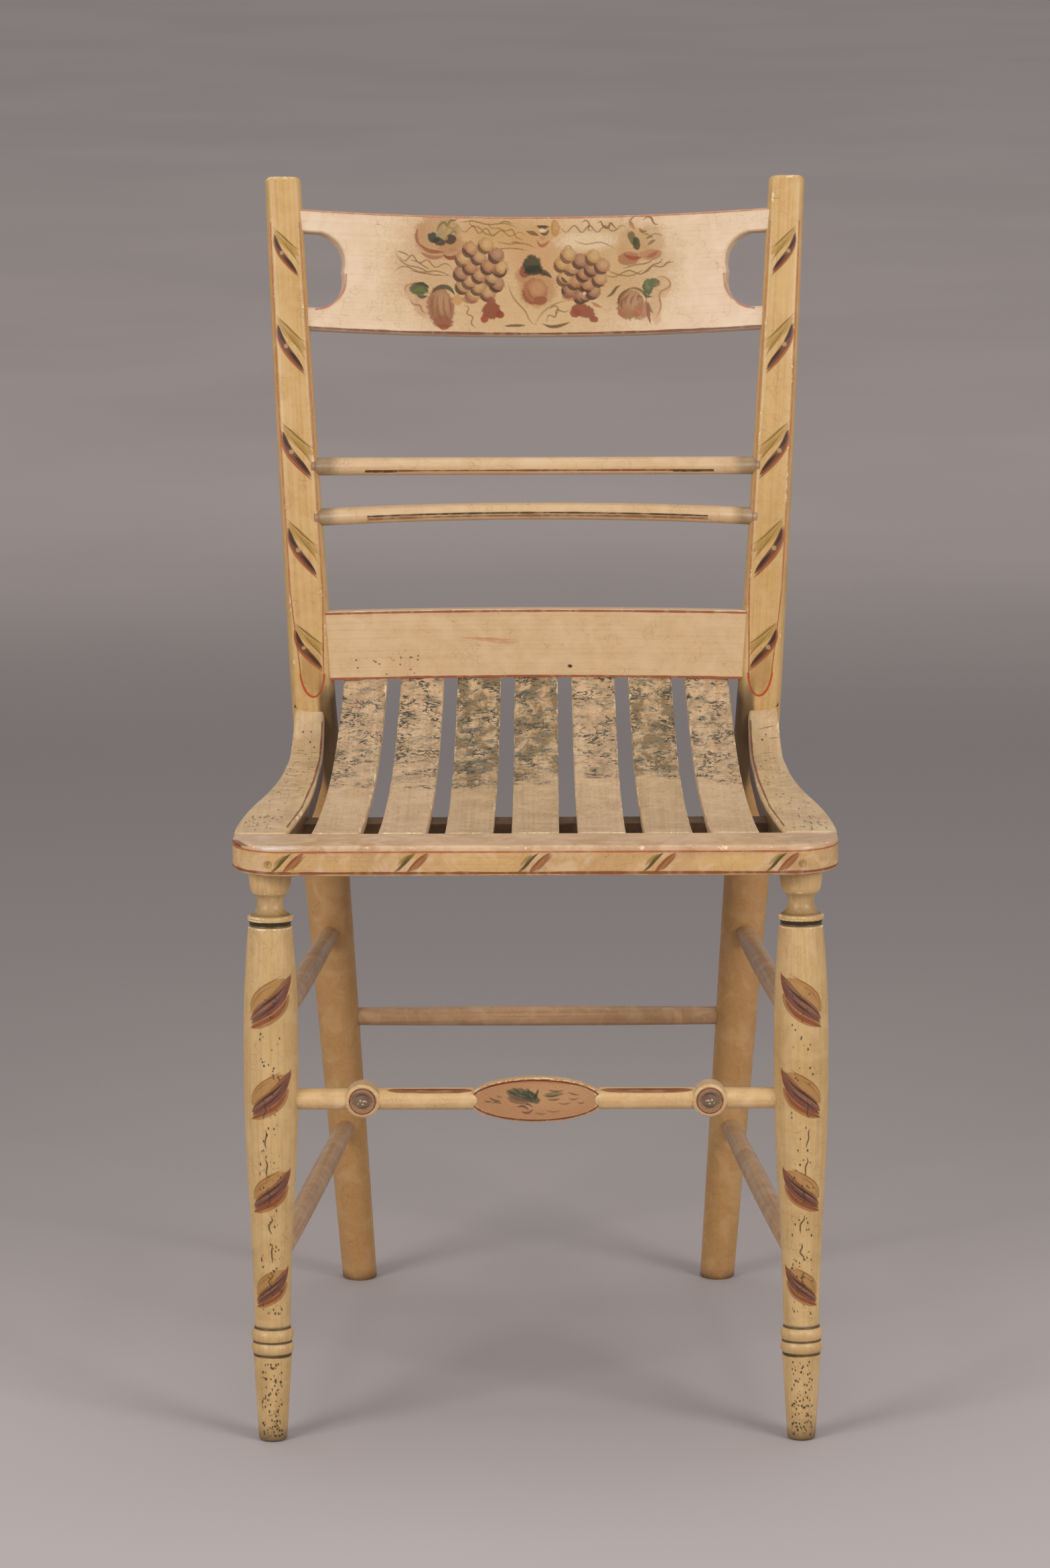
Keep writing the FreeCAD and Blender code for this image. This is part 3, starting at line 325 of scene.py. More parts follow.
@dataclass
class Turning:
    """A turned bar: its half width along a line, spun about that line.

    point = line + radius * (cos(turn) * front + sin(turn) * side), where turn 0 faces the guide. The heading
    says which way a line goes that stands still for part of its length, as a disc's does.
    """

    line: Array
    radius: Array
    guide: Triple = (0, -1, 0)
    around: int = 64
    heading: Triple | None = None

    def __post_init__(self) -> None:
        """Works out the directions to the front and to the side at each ring."""
        along = np.tile(self.heading, (len(self.line), 1)) if self.heading else unit(np.gradient(self.line, axis=0))
        guide = np.array(self.guide, float)
        self.front = unit(guide - (along @ guide)[:, None] * along)
        self.side = np.cross(along, self.front)
        self.run = distances(np.column_stack([self.line, self.radius]) if self.heading else self.line)

    def skin(self) -> Skin:
        """The closed surface. Crests of the outline are rubbed, and its hollows hold dirt."""
        turn = np.linspace(0, 2 * np.pi, self.around, endpoint=False)
        cos, sin = np.cos(turn)[None, :, None], np.sin(turn)[None, :, None]
        spoke = cos * self.front[:, None] + sin * self.side[:, None]
        rings = self.line[:, None] + self.radius[:, None, None] * spoke
        points, faces = capped(rings)
        bend = np.gradient(np.arctan(np.gradient(self.radius, self.run)), self.run)
        flow = np.stack([np.broadcast_to(self.run[:, None], rings.shape[:2]),
                         self.radius[:, None] * np.cos(turn), self.radius[:, None] * np.sin(turn)], -1)
        flow = np.concatenate([flow.reshape(-1, 3), [[0, 0, 0], [self.run[-1], 0, 0]]]) * MM
        crest, hollow = (np.concatenate([np.repeat(np.clip(sign * bend * 3.0, 0, 1), self.around), [0, 0]])
                         for sign in (-1, 1))
        return Skin(points, faces, flow, crest, hollow)

    def surface(self, run: Array, across: Array, lift: float) -> Array:
        """Points on the bar, by the distance along it and the distance round it from where it faces the guide."""
        line, front, side = (read(run, self.run, values) for values in (self.line, self.front, self.side))
        radius = np.interp(run, self.run, self.radius)
        turn = (across / radius)[..., None]
        return line + (radius + lift)[..., None] * (np.cos(turn) * front + np.sin(turn) * side)


@dataclass
class Board:
    """A board of even thickness: an outline filled with faces, its edges rounded, then bent to its shape.

    A point at a distance d inside the outline, where d is under the round's radius r, lies
    r - sqrt(r^2 - (r - d)^2) below the face.
    """

    outline: Array
    thick: float
    bend: Callable[[Array, Array, Array], Array]
    round_top: float = 1.0
    round_under: float = 1.0
    spacing: float = 5.0
    lengthwise: bool = False

    def _gap(self, spots: Array) -> Array:
        """Distance of each spot to the nearest side of the outline."""
        start, way = self.outline, np.roll(self.outline, -1, 0) - self.outline
        size = (way**2).sum(1)
        nearest = np.full(len(spots), np.inf)
        for part in np.array_split(np.arange(len(spots)), max(1, len(spots) * len(start) // 2_000_000)):
            off = spots[part, None] - start[None]
            share = np.clip((off * way).sum(2) / size, 0, 1)
            nearest[part] = np.sqrt(((off - share[..., None] * way) ** 2).sum(2)).min(1)
        return nearest

    def _inside(self, spots: Array) -> Array:
        """Whether each spot is within the outline: a line to the right of it crosses an odd number of sides."""
        a, b = self.outline, np.roll(self.outline, -1, 0)
        y = spots[:, None, 1]
        spans = (a[:, 1] > y) != (b[:, 1] > y)
        rise = np.where(b[:, 1] == a[:, 1], 1.0, b[:, 1] - a[:, 1])
        cross = a[:, 0] + (y - a[:, 1]) * (b[:, 0] - a[:, 0]) / rise
        return (spans & (spots[:, None, 0] < cross)).sum(1) % 2 == 1

    def _fill(self, radius: float) -> tuple[Array, Array, Array]:
        """Points and triangles of one face, its outline first, and how far inside each point is."""
        ahead = unit(np.roll(self.outline, -1, 0) - np.roll(self.outline, 1, 0))
        inward = np.stack([-ahead[:, 1], ahead[:, 0]], 1)
        insets = [radius * (1 - math.sin(math.radians(a))) for a in (66, 48, 30, 14)] + [radius, radius + 0.8]
        kept = []
        for inset in insets:
            ring = self.outline + inward * inset
            kept.append(ring[(self._gap(ring) > inset * 0.97) & self._inside(ring)])
        low, high = self.outline.min(0), self.outline.max(0)
        count = np.maximum(2, ((high - low) / self.spacing).astype(int))
        inner = np.stack(np.meshgrid(*map(np.linspace, low, high, count)), -1).reshape(-1, 2)
        inner = inner[self._inside(inner)]
        kept.append(inner[self._gap(inner) > insets[-1] + 0.35 * self.spacing])
        spots = np.concatenate([self.outline, *kept])
        edges = [(i, (i + 1) % len(self.outline)) for i in range(len(self.outline))]
        verts, _, faces, source, _, _ = delaunay_2d_cdt([Vector(p) for p in spots], edges, [], 1, 1e-5)
        made = np.array([v[:] for v in verts])
        order = np.array([source[i][0] for i in range(len(made))])
        back = np.argsort(np.where(order < 0, len(spots), order))
        place = np.empty(len(made), int)
        place[back] = np.arange(len(made))
        made = made[back]
        return made, place[np.array(faces)], self._gap(made)

    def skin(self) -> Skin:
        """The closed surface of the board."""
        parts = []
        for radius, under in ((self.round_top, False), (self.round_under, True)):
            spots, faces, gap = self._fill(radius)
            inner = np.clip(radius - gap, 0, radius)
            depth = radius - np.sqrt(np.maximum(radius**2 - inner**2, 0))
            depth[:len(self.outline)] = radius
            depth = self.thick - depth if under else depth
            parts.append((spots, depth, faces[:, ::-1] if under else faces, gap))
        n = len(self.outline)
        rows = np.linspace(self.round_top, self.thick - self.round_under, max(2, round(self.thick / 4)) + 1)[1:-1]
        wall = [(self.outline, np.full(n, t)) for t in rows]
        spots = np.concatenate([parts[0][0], parts[1][0]] + [w[0] for w in wall])
        depth = np.concatenate([parts[0][1], parts[1][1]] + [w[1] for w in wall])
        top, under = len(parts[0][0]), len(parts[1][0])
        starts = [0] + [top + under + n * i for i in range(len(rows))] + [top]
        i = np.arange(n)
        j = (i + 1) % n
        sides = [np.stack([a + i, b + i, b + j, a + j], 1) for a, b in zip(starts, starts[1:])]
        gap = np.concatenate([parts[0][3], parts[1][3], np.tile(np.zeros(n), len(rows))])
        from_face = np.minimum(depth, self.thick - depth)
        rub = np.exp(-np.maximum(gap, 0) / RUB_REACH) * np.exp(-np.maximum(from_face - 1.2, 0) / RUB_REACH)
        along, over = (spots[:, 1], spots[:, 0]) if self.lengthwise else (spots[:, 0], spots[:, 1])
        return Skin(self.bend(spots[:, 0], spots[:, 1], depth),
                    [parts[0][2], parts[1][2] + top, *sides],
                    np.stack([along, over, depth], 1) * MM, rub, np.zeros(len(spots)))


def lying(top: float) -> Callable[[Array, Array, Array], Array]:
    """The shape of a board that lies level, its top at that height."""
    return lambda x, y, t: np.stack([x, y, top - t], -1)


# ---------------------------------------------------------------- paint laid on by hand


# in millimetres: how wide a stroke's edge is, and how far painted sheets and lines lie off the wood
SOFT_EDGE = 0.35
FILM_LIFT = 0.1
LINE_LIFT = 0.13
# the cover up to which a painted sheet has no face
BARE = 0.03


def hue(code: str) -> Array:
    """The linear colour of a hexadecimal one, by the usual screen curve."""
    shown = np.array([int(code[i:i + 2], 16) / 255 for i in (0, 2, 4)])
    return np.where(shown <= 0.04045, shown / 12.92, ((shown + 0.055) / 1.055) ** 2.4)


class Canvas:
    """Thin paint on a fine grid, in millimetres across and up, laid on stroke by stroke."""

    def __init__(self, low: Pair, high: Pair, step: float = 0.45) -> None:
        """Starts bare, from its lowest corner to its highest, with points a step apart."""
        self.x = np.arange(low[0], high[0] + step, step)
        self.y = np.arange(low[1], high[1] + step, step)
        self.colour = np.zeros((len(self.x), len(self.y), 3))
        self.cover = np.zeros((len(self.x), len(self.y)))

    def window(self, spots: Array, reach: float) -> tuple[tuple[slice, slice], Array, Array]:
        """The part of the grid within reach of the spots: its slices, and its x and y."""
        low, high = spots.min(0) - reach, spots.max(0) + reach
        cut = tuple(slice(*np.searchsorted(axis, [low[k], high[k]])) for k, axis in enumerate((self.x, self.y)))
        x, y = np.meshgrid(self.x[cut[0]], self.y[cut[1]], indexing="ij")
        return cut, x, y

    def lay(self, cut: tuple[slice, slice], cover: Array, colour: Array) -> None:
        """Lays paint on a part of the grid: cover is 1 where it hides what is under it."""
        cover = np.clip(cover, 0, 1)
        under = self.cover[cut] * (1 - cover)
        both = cover + under
        share = np.where(both > 1e-6, cover / np.maximum(both, 1e-6), 1.0)[..., None]
        fresh = self.cover[cut][..., None] < 1e-6
        self.colour[cut] = np.where(fresh, colour, self.colour[cut] * (1 - share) + colour * share)
        self.cover[cut] = both

    def stroke(self, spots: Sequence[Pair], width: float, colour: str, *, strength: float = 0.9,
               taper: float = 0.5, bristle: float = 0.35, seed: int = 0) -> None:
        """A brush stroke along a smooth line.

        Its half width at a share s of its length is width/2 * (1 - |2s - 1|^(1/taper)), softened over SOFT_EDGE, and
        bristle marks run along it.

        Args:
            spots: what the line passes through.
            width: at its widest.
            colour: of the paint.
            strength: how much it hides.
            taper: near 0 for blunt ends, and 1 for long thin ones.
            bristle: how strongly the bristles show.
            seed: of the bristle marks.
        """
        knots = np.array(spots, float)
        length = distances(knots)
        line = spline(length, knots, np.linspace(0, length[-1], max(8, int(length[-1] / 1.6)))) if len(knots) > 2 \
            else knots[0] + (knots[1] - knots[0]) * np.linspace(0, 1, 6)[:, None]
        cut, x, y = self.window(line, width)
        if not x.size:
            return
        way = np.diff(line, axis=0)
        off = np.stack([x, y], -1)[..., None, :] - line[:-1]
        size = np.maximum((way**2).sum(1), 1e-9)
        share = np.clip((off * way).sum(-1) / size, 0, 1)
        gap = np.sqrt(((off - share[..., None] * way) ** 2).sum(-1))
        turn = off[..., 0] * way[:, 1] - off[..., 1] * way[:, 0]
        nearest = gap.argmin(-1)
        gap, share, turn = (np.take_along_axis(v, nearest[..., None], -1)[..., 0] for v in (gap, share, turn))
        s = (nearest + share) / len(way)
        half = width / 2 * (1 - np.abs(2 * s - 1) ** (1 / max(taper, 0.02))) + 0.02
        mark = scatter(np.sign(turn) * gap * 3.0 / max(width, 0.8) * 2 + 7, s * length[-1] * 0.12, seed)
        cover = strength * smoothstep(-SOFT_EDGE / 2, SOFT_EDGE / 2, half - gap) * (1 - bristle * mark)
        self.lay(cut, cover, hue(colour))

    def blot(self, centre: Pair, size: Pair, colour: str, *, angle: float = 0.0,
             strength: float = 0.9, soft: float = 0.25, seed: int = 0, light: str | None = None) -> None:
        """A rounded blot with an uneven edge.

        It covers where the ellipse's own distance, stirred by noise, is under 1: sqrt((a/w)^2 + (b/h)^2).

        Args:
            centre: its middle.
            size: its half widths.
            colour: of the paint.
            angle: degrees that it is turned.
            strength: how much it hides.
            soft: how wide its edge is, as a share of its size.
            seed: of the noise.
            light: colour of its middle, where it differs.
        """
        cut, x, y = self.window(np.array([centre], float), max(size) * 1.4 + 1)
        if not x.size:
            return
        c, s = math.cos(math.radians(angle)), math.sin(math.radians(angle))

        def far(dx: float, dy: float) -> Array:
            """The ellipse's own distance from its middle, moved by that much."""
            u, v = x - centre[0] - dx, y - centre[1] - dy
            return np.sqrt(((u * c + v * s) / size[0]) ** 2 + ((v * c - u * s) / size[1]) ** 2)

        noise = scatter(x * 0.7, y * 0.7, seed) - 0.5
        cover = strength * smoothstep(1 + soft / 2, 1 - soft / 2, far(0, 0) + 0.24 * noise)
        colours = hue(colour)
        if light is not None:
            middle = smoothstep(0.95, 0.25, far(0.2 * size[0], 0.25 * size[1]))[..., None]
            colours = colours * (1 - middle) + hue(light) * middle
        self.lay(cut, cover * (1 - 0.15 * scatter(x * 2, y * 2, seed + 5)), colours)


@dataclass(frozen=True)
class Brush:
    """One brush stroke of a motif: its cover is in hundredths, and its line is a row of x,y points."""

    colour: str
    width: float
    cover: int
    line: str
    taper: float = 0.5

    def lay(self, canvas: Canvas, centre: Array, scale: Array, seed: int) -> None:
        """Paints it: a point goes to centre + scale * point."""
        spots = np.array([spot.split(",") for spot in self.line.split()], float)
        canvas.stroke(centre + spots * scale, self.width * abs(scale[0]), self.colour, strength=self.cover / 100,
                      taper=self.taper, seed=seed)


def brushes(colour: str, width: float, cover: int, *lines: str, taper: float = 0.5) -> tuple[Brush, ...]:
    """Several strokes of one brush."""
    return tuple(Brush(colour, width, cover, line, taper) for line in lines)


@dataclass(frozen=True)
class Dab:
    """One rounded dab of a motif: its spot holds its middle and its half widths."""

    colour: str
    cover: int
    spot: tuple[float, float, float, float]
    angle: int = 0
    light: str | None = None
    soft: float = 0.25

    def lay(self, canvas: Canvas, centre: Array, scale: Array, seed: int) -> None:
        """Paints it: its middle goes to centre + scale * middle."""
        canvas.blot(centre + self.spot[:2] * scale, self.spot[2:] * np.abs(scale), self.colour, angle=self.angle,
                    strength=self.cover / 100, soft=self.soft, seed=seed, light=self.light)


@dataclass(frozen=True)
class Motif:
    """Marks that are painted one over another, in units that each use scales to millimetres."""

    marks: tuple["Brush | Dab", ...]

    def paint(self, canvas: Canvas, centre: Sequence[float], scale: Sequence[float], seed: int = 0,
              shake: float = 0.0) -> None:
        """Lays the motif with its zero at the centre; each mark may stray by the shake, in millimetres."""
        stray = np.random.default_rng(seed).uniform(-shake, shake, (len(self.marks), 2))
        for index, mark in enumerate(self.marks):
            mark.lay(canvas, np.add(centre, stray[index]), np.asarray(scale, float), 17 * seed + index)


# a leaf that falls to the right, and how many units wide and high it is
LEAF_SIZE = np.array([87, 97])
LEAF = Motif((
    Brush("b98038", 34, 50, "46,-20 24,2 -4,22 -38,38", 0.3),
    Brush("a8682e", 26, 54, "46,-46 16,-33 -16,-16 -44,12", 0.3),
    Brush("99592c", 3.0, 62, "49,-8 38,10 18,26 -6,38 -26,47"), Brush("99592c", 2.8, 45, "40,-6 22,15 -4,29"),
    Brush("c29a62", 3.4, 45, "36,-12 10,10 -18,30"),
    Brush("8a5440", 29, 78, "46,-34 20,-17 -6,-1 -28,19 -48,44", 0.28),
    Brush("6c3c32", 17, 74, "45,-40 20,-25 -6,-9 -28,9 -46,32", 0.35),
    Brush("8c3f26", 9, 76, "47,-48 18,-36 -14,-21 -38,3", 0.3), Brush("9a4a34", 7, 62, "-49,48 -46,34 -36,18", 0.3),
    Brush("b08468", 2.6, 45, "30,-24 6,-8 -20,10"), Brush("22120a", 5.4, 92, "41,-26 22,-11 2,2 -16,14 -38,31"),
    Brush("22120a", 3.8, 72, "32,-33 10,-18 -10,-5 -26,9"),
))
# a slimmer leaf for the back posts, and its size
STILE_LEAF_SIZE = np.array([96, 100])
STILE_LEAF = Motif((
    Brush("bf9a46", 30, 42, "-44,44 -14,24 16,6 44,-10", 0.35), Brush("b08a3c", 14, 40, "-10,20 14,2 34,-16"),
    Brush("5c3a1c", 3.4, 75, "-47,50 -18,34 16,15 47,2"), Brush("6b4420", 2.8, 62, "-30,34 -4,12 22,-8 44,-28"),
    Brush("a8552f", 11, 76, "-45,36 -41,8 -19,-17 11,-37 36,-53", 0.3),
    Brush("6a3a28", 19, 86, "-41,34 -33,10 -13,-10 11,-28 35,-47", 0.3),
    Brush("2c180e", 10, 92, "-41,32 -33,12 -20,1"), Brush("2c180e", 10, 92, "-13,-10 8,-24 32,-42"),
    Dab("c9a878", 65, (-19, -3, 8, 4), -30),
))
# a pair of slim leaves on the front rail, in units of about a tenth of a millimetre
RAIL_PAIR = Motif((
    Brush("a8883c", 20, 50, "-98,-22 -60,20 -14,52"), Brush("6b5c28", 24, 84, "-118,-64 -66,-20 -28,28 22,62", 0.7),
    Brush("33280e", 9, 80, "-96,-58 -54,-12 -12,28 24,62"),
    Brush("a8693c", 44, 82, "-36,-60 18,-16 58,22 102,62", 0.45),
    Brush("7a3c1c", 11, 75, "-40,-60 4,-16 44,24 92,62"), Brush("8f4f28", 9, 65, "6,-60 48,-18 82,18 114,56"),
    Brush("c08a50", 7, 45, "-10,-46 30,-8 66,28"),
))
# leaf sprays on the plaque of the front stretcher, in units a little over a tenth of a millimetre
PLAQUE_SPRAYS = Motif((
    Dab("c08a60", 78, (0, 0, 362, 120), light="cc9a6c", soft=0.12),
    Brush("a8502e", 14, 75, "-270,74 -120,104 50,107 215,88"), Dab("4c4e3a", 80, (-78, 30, 84, 36), -12),
    Dab("3a4230", 85, (-30, 18, 56, 28), -26), Brush("2e3826", 19, 90, "-170,62 -118,36 -50,20 0,-2"),
    Brush("263222", 15, 90, "-50,70 -34,42 -12,8"), Brush("33402c", 14, 88, "-128,72 -98,46 -66,14"),
    Brush("26301f", 15, 90, "14,66 2,34 -14,-4"), Brush("8f8868", 5, 70, "-120,44 -86,28 -50,20"),
    Brush("9a9070", 4, 60, "-40,48 -28,26 -10,2"), Dab("6e4a3c", 70, (-96, 0, 60, 22), -12),
    Brush("4a2a24", 13, 84, "-108,-38 -70,-34 -38,-58"), Brush("57302a", 13, 80, "-84,-62 -46,-72 -14,-48"),
    Brush("33261c", 8, 84, "-64,-22 -36,-26 -18,-40"), Brush("3a4030", 11, 84, "-262,18 -232,2 -196,-4"),
    Brush("4a3a28", 9, 78, "-246,-18 -214,-10 -186,-22"), Brush("3c4630", 9, 78, "-288,-2 -262,-8 -240,-4"),
    Brush("5a4030", 8, 70, "-220,30 -200,18 -184,20"), Brush("50583c", 24, 70, "44,36 98,32 156,38"),
    Brush("363f2a", 12, 86, "36,28 88,22 128,32"), Brush("3c4430", 12, 84, "66,58 106,50 152,56"),
    Brush("44462f", 11, 80, "56,6 98,2 138,10"), Brush("4c4a32", 10, 80, "168,46 208,34 240,28"),
    Brush("463f2c", 9, 76, "176,12 212,4 236,14"), Brush("5a4a30", 8, 74, "120,-16 160,-22 196,-12"),
    Brush("7a4c34", 8, 66, "50,-56 98,-66 140,-56"), Brush("4a3a28", 7, 74, "226,-12 250,-18 268,-8"),
    Brush("6a3a2c", 8, 70, "-10,-70 26,-78 60,-74"),
))
# the dark flower on each roundel, in units of about a tenth of a millimetre
ROUNDEL_FACE = Motif((
    Dab("a07c5a", 75, (0, 0, 88, 88)), Dab("6a5242", 80, (2, 8, 66, 56), light="7c6450"),
    Brush("3a2a20", 14, 80, "-48,20 -20,44 20,46 50,22"), Brush("4a3226", 12, 78, "-44,-20 -10,-40 30,-38"),
    Dab("7a4a3a", 60, (-22, 20, 24, 16)), Brush("e0d6c4", 8, 85, "-30,-4 -12,4 4,-2"),
    Dab("e0d6c4", 85, (14, 6, 6, 5)), Dab("d8ccb4", 80, (-2, -18, 7, 4)), Dab("d8cbb0", 75, (28, -14, 4, 4)),
))

# the crest's ground, fruit and vines, in half millimetres from the middle of the crest's lower edge
WASHES = Motif((
    Dab("dab272", 42, (-20, 84, 182, 110), soft=0.9), Dab("cf9a62", 22, (-111, 162, 90, 26), soft=1.0),
    Dab("c79c55", 25, (-38, 158, 62, 22), soft=1.1), Dab("c99b5c", 24, (140, 110, 72, 60), soft=1.0),
    Dab("cc9d70", 22, (-163, 103, 52, 42), soft=1.1), Dab("cc8c58", 30, (3, 125, 42, 42), soft=1.1),
    Dab("e6cba6", 75, (80, 146, 48, 15), soft=0.9),
))
LEFT_FRUIT = Motif((
    Brush("7a5624", 3.2, 75, "95,171 101,176 106,167 113,166 116,173 122,167 128,161"),
    Brush("8a6a34", 2.7, 60, "-42,82 -35,61 -26,49 -14,35 -5,19 4,16"),
    Brush("8f6c38", 2.7, 60, "51,54 26,46 9,32 0,17"), Brush("5a3a14", 4.6, 85, "-48,14 -32,15 -14,15"),
    Brush("5c3a14", 5.2, 85, "11,18 24,13 36,14 54,20"), Brush("4a2f10", 4.6, 85, "109,57 119,64 125,72 132,76"),
    Dab("c89a66", 25, (-167, 154, 17, 18), soft=0.5), Dab("b88452", 38, (-150, 152, 34, 33), light="c59c68"),
    Dab("aa7044", 38, (-129, 137, 21, 17)), Brush("93492a", 4.7, 70, "-180,165 -182,148 -174,133"),
    Brush("8a3517", 6.3, 85, "-177,140 -167,131 -155,128 -140,128"),
    Brush("96542e", 6.3, 70, "-176,127 -163,120 -151,119 -140,122"),
    Brush("7c2d10", 6.3, 90, "-142,125 -134,119 -124,120 -113,128"),
    Brush("a5714f", 5.2, 60, "-134,133 -127,131 -118,135"), Dab("9c8458", 60, (-134, 163, 17, 16), light="b59a62"),
    Dab("1e2410", 95, (-156, 150, 9, 8), -20), Dab("26200c", 90, (-147, 144, 10, 6), -15),
    Dab("2c1c0a", 92, (-130, 148, 9, 8), 25), Dab("8d8a66", 70, (-149, 154, 4, 3.2)),
    Dab("a88850", 70, (-138, 150, 4, 4)),
    Brush("6b4a1c", 3.8, 75, "-151,158 -146,170 -139,174 -135,169 -130,177 -122,178 -120,184"),
    Brush("7d5c26", 3.2, 60, "-138,158 -132,167 -126,164 -120,171"),
    Brush("5c4418", 3.2, 60, "-132,154 -124,161 -120,156"), Dab("c99f70", 30, (-184, 64, 16, 16)),
    Dab("c4966a", 30, (-172, 42, 14, 17), 30), Brush("b26f48", 2.7, 70, "-199,63 -199,72 -191,77 -184,78"),
    Brush("a8643c", 3.2, 70, "-192,55 -186,45 -176,43 -174,36 -167,32"), Dab("3b4712", 90, (-178, 70, 14, 10)),
    Brush("1f260a", 5.2, 90, "-186,75 -176,78 -162,71"), Brush("55701c", 4.7, 75, "-188,65 -178,69 -166,64"),
    Brush("242a0c", 5.2, 90, "-182,60 -174,57 -165,60"), Dab("94603c", 90, (-145, 42, 20, 30), 12, "ac7e58"),
    Dab("8c4a2c", 62, (-142, 19, 15, 10), -10),
    *brushes("84401f", 4.2, 60, "-155,61 -159,44 -156,27", "-149,63 -150,40 -142,15", "-140,61 -140,38 -132,17",
             "-132,60 -130,42 -128,30"),
    Brush("262a0a", 7.4, 95, "-159,63 -151,71 -140,74 -131,71 -123,61"), Dab("c98a48", 60, (-119, 54, 7, 8)),
    Brush("8d2c14", 8.4, 70, "-151,15 -140,11 -130,15"),
))
MIDDLE_FRUIT = Motif((
    Brush("3a1a12", 3.8, 90, "-70,102 -61,93 -52,91 -45,99 -46,106"),
    Brush("4a1e0c", 3.6, 80, "-108,135 -105,127 -97,124"), Dab("a8684a", 55, (-101, 55, 12, 6)),
    Dab("84381e", 90, (-67, 38, 14, 13)), Dab("97391c", 90, (-78, 25, 6, 6)), Dab("8a2f18", 90, (-54, 32, 6, 6)),
    Dab("8c4230", 85, (-68, 53, 7, 7)), Dab("ac7048", 50, (-20, 93, 10, 11), soft=0.6),
    Dab("b98256", 55, (3, 72, 28, 27), soft=0.5), Dab("9c603a", 90, (0, 68, 20, 20), light="b58458"),
    Brush("84381f", 5.2, 75, "-18,72 -15,58 -5,50 5,49"), Brush("93452c", 3.8, 60, "-11,74 -8,62 0,55"),
    Dab("8a4628", 80, (8, 54, 10, 7)), Dab("7a3324", 80, (-15, 99, 9, 10)), Dab("2d3018", 95, (-5, 110, 14, 14)),
    Dab("20220f", 90, (-2, 101, 14, 8), 10), Dab("47482a", 60, (0, 114, 6, 6)),
    Brush("2a200c", 7.4, 92, "3,103 14,98 26,89"), Brush("33280f", 5.2, 85, "3,101 11,95 20,95"),
    Brush("5a300c", 6.3, 85, "-14,162 -4,159 6,155"), Brush("3a1e08", 6.3, 92, "2,170 11,168 22,169"),
    Brush("42240a", 5.2, 85, "6,162 16,157 22,165"), Dab("dcc69c", 85, (11, 163, 5, 3.2)),
    Brush("a0502a", 5.2, 80, "3,148 9,139 17,142 23,148"), Brush("b9744a", 4.2, 60, "7,152 16,151"),
    Dab("b8793c", 65, (31, 166, 7, 13), light="c8935a"),
))
RIGHT_FRUIT = Motif((
    Brush("3d160c", 5.2, 90, "41,91 45,84 50,81"), Brush("52220f", 3.6, 80, "63,77 70,69 78,68 86,71"),
    Brush("451a10", 3.8, 85, "68,58 76,52 86,55"), Dab("e0b496", 80, (76, 64, 2.7, 2.7)),
    Dab("a86c4a", 50, (53, 59, 12, 6)), Dab("8a4228", 90, (74, 37, 18, 10), -18), Dab("8c3c24", 85, (62, 34, 8, 7)),
    Dab("8a4028", 85, (90, 24, 7, 5), -10), Brush("b0573a", 5.2, 60, "86,51 95,45 103,42"),
    Dab("c9935c", 34, (151, 137, 23, 27), light="d2a871", soft=0.5),
    Dab("c79a60", 30, (177, 142, 21, 25), light="cfae78", soft=0.5), Dab("a06440", 75, (144, 117, 16, 10)),
    Dab("ad7648", 60, (178, 122, 17, 8)), Brush("8f3010", 6.3, 90, "136,124 146,118 157,117 165,119"),
    Brush("9a4526", 6.3, 75, "170,118 180,121 190,128"), Dab("5c5426", 85, (150, 148, 6, 12), 20),
    Dab("33300f", 92, (156, 140, 6, 10), 10), Brush("b3673e", 5.2, 60, "145,177 150,168 153,161"),
    Brush("7d5a1e", 4.6, 80, "160,164 165,158 172,159"), Brush("7a581c", 4.6, 80, "171,146 177,150 182,149"),
    Brush("7a4f1c", 4.6, 75, "173,136 180,142 186,144"), Brush("96682c", 3.6, 60, "167,154 176,154"),
    Brush("a27a44", 2.7, 70, "147,163 146,174 152,182 160,183 166,180"),
    Brush("8a6634", 3.2, 75, "166,175 171,180 178,180 183,170 191,168"),
    Dab("cfa266", 25, (196, 70, 12, 16), light="d9b27c"), Dab("cd9c60", 25, (185, 38, 9, 25), 4),
    Dab("a06a44", 85, (146, 45, 20, 22), light="b3845c"), Dab("9c5a3a", 45, (164, 35, 12, 15), -30),
    Brush("5f3418", 4.6, 85, "130,42 129,54 136,64 147,71"), Brush("6e4426", 4.2, 75, "142,70 155,70 166,63 172,51"),
    *brushes("5d2f26", 3.6, 65, "139,45 140,56 146,61", "147,42 149,55 154,61", "158,49 159,58 165,54",
             "134,38 133,49 138,57"),
    Brush("9a5230", 5.2, 80, "170,53 173,38 175,23 178,13"), Brush("a0562e", 6.3, 70, "129,40 131,31 140,27"),
    Brush("c07048", 5.2, 60, "153,38 161,32 167,25"), Dab("46512a", 90, (173, 72, 8, 12), light="6a7440"),
    Dab("525c30", 85, (182, 78, 9, 7), 10), Brush("3a3c20", 4.2, 80, "166,64 172,57 180,57"),
    Brush("6d5c2c", 4.2, 60, "174,49 176,38 182,30"),
    Brush("a8783e", 2.9, 75, "185,84 196,87 204,82 208,75 202,68 193,63 191,54 193,42 190,32 185,21"),
    Brush("9c7440", 3.2, 60, "182,78 190,74 194,76"),
))
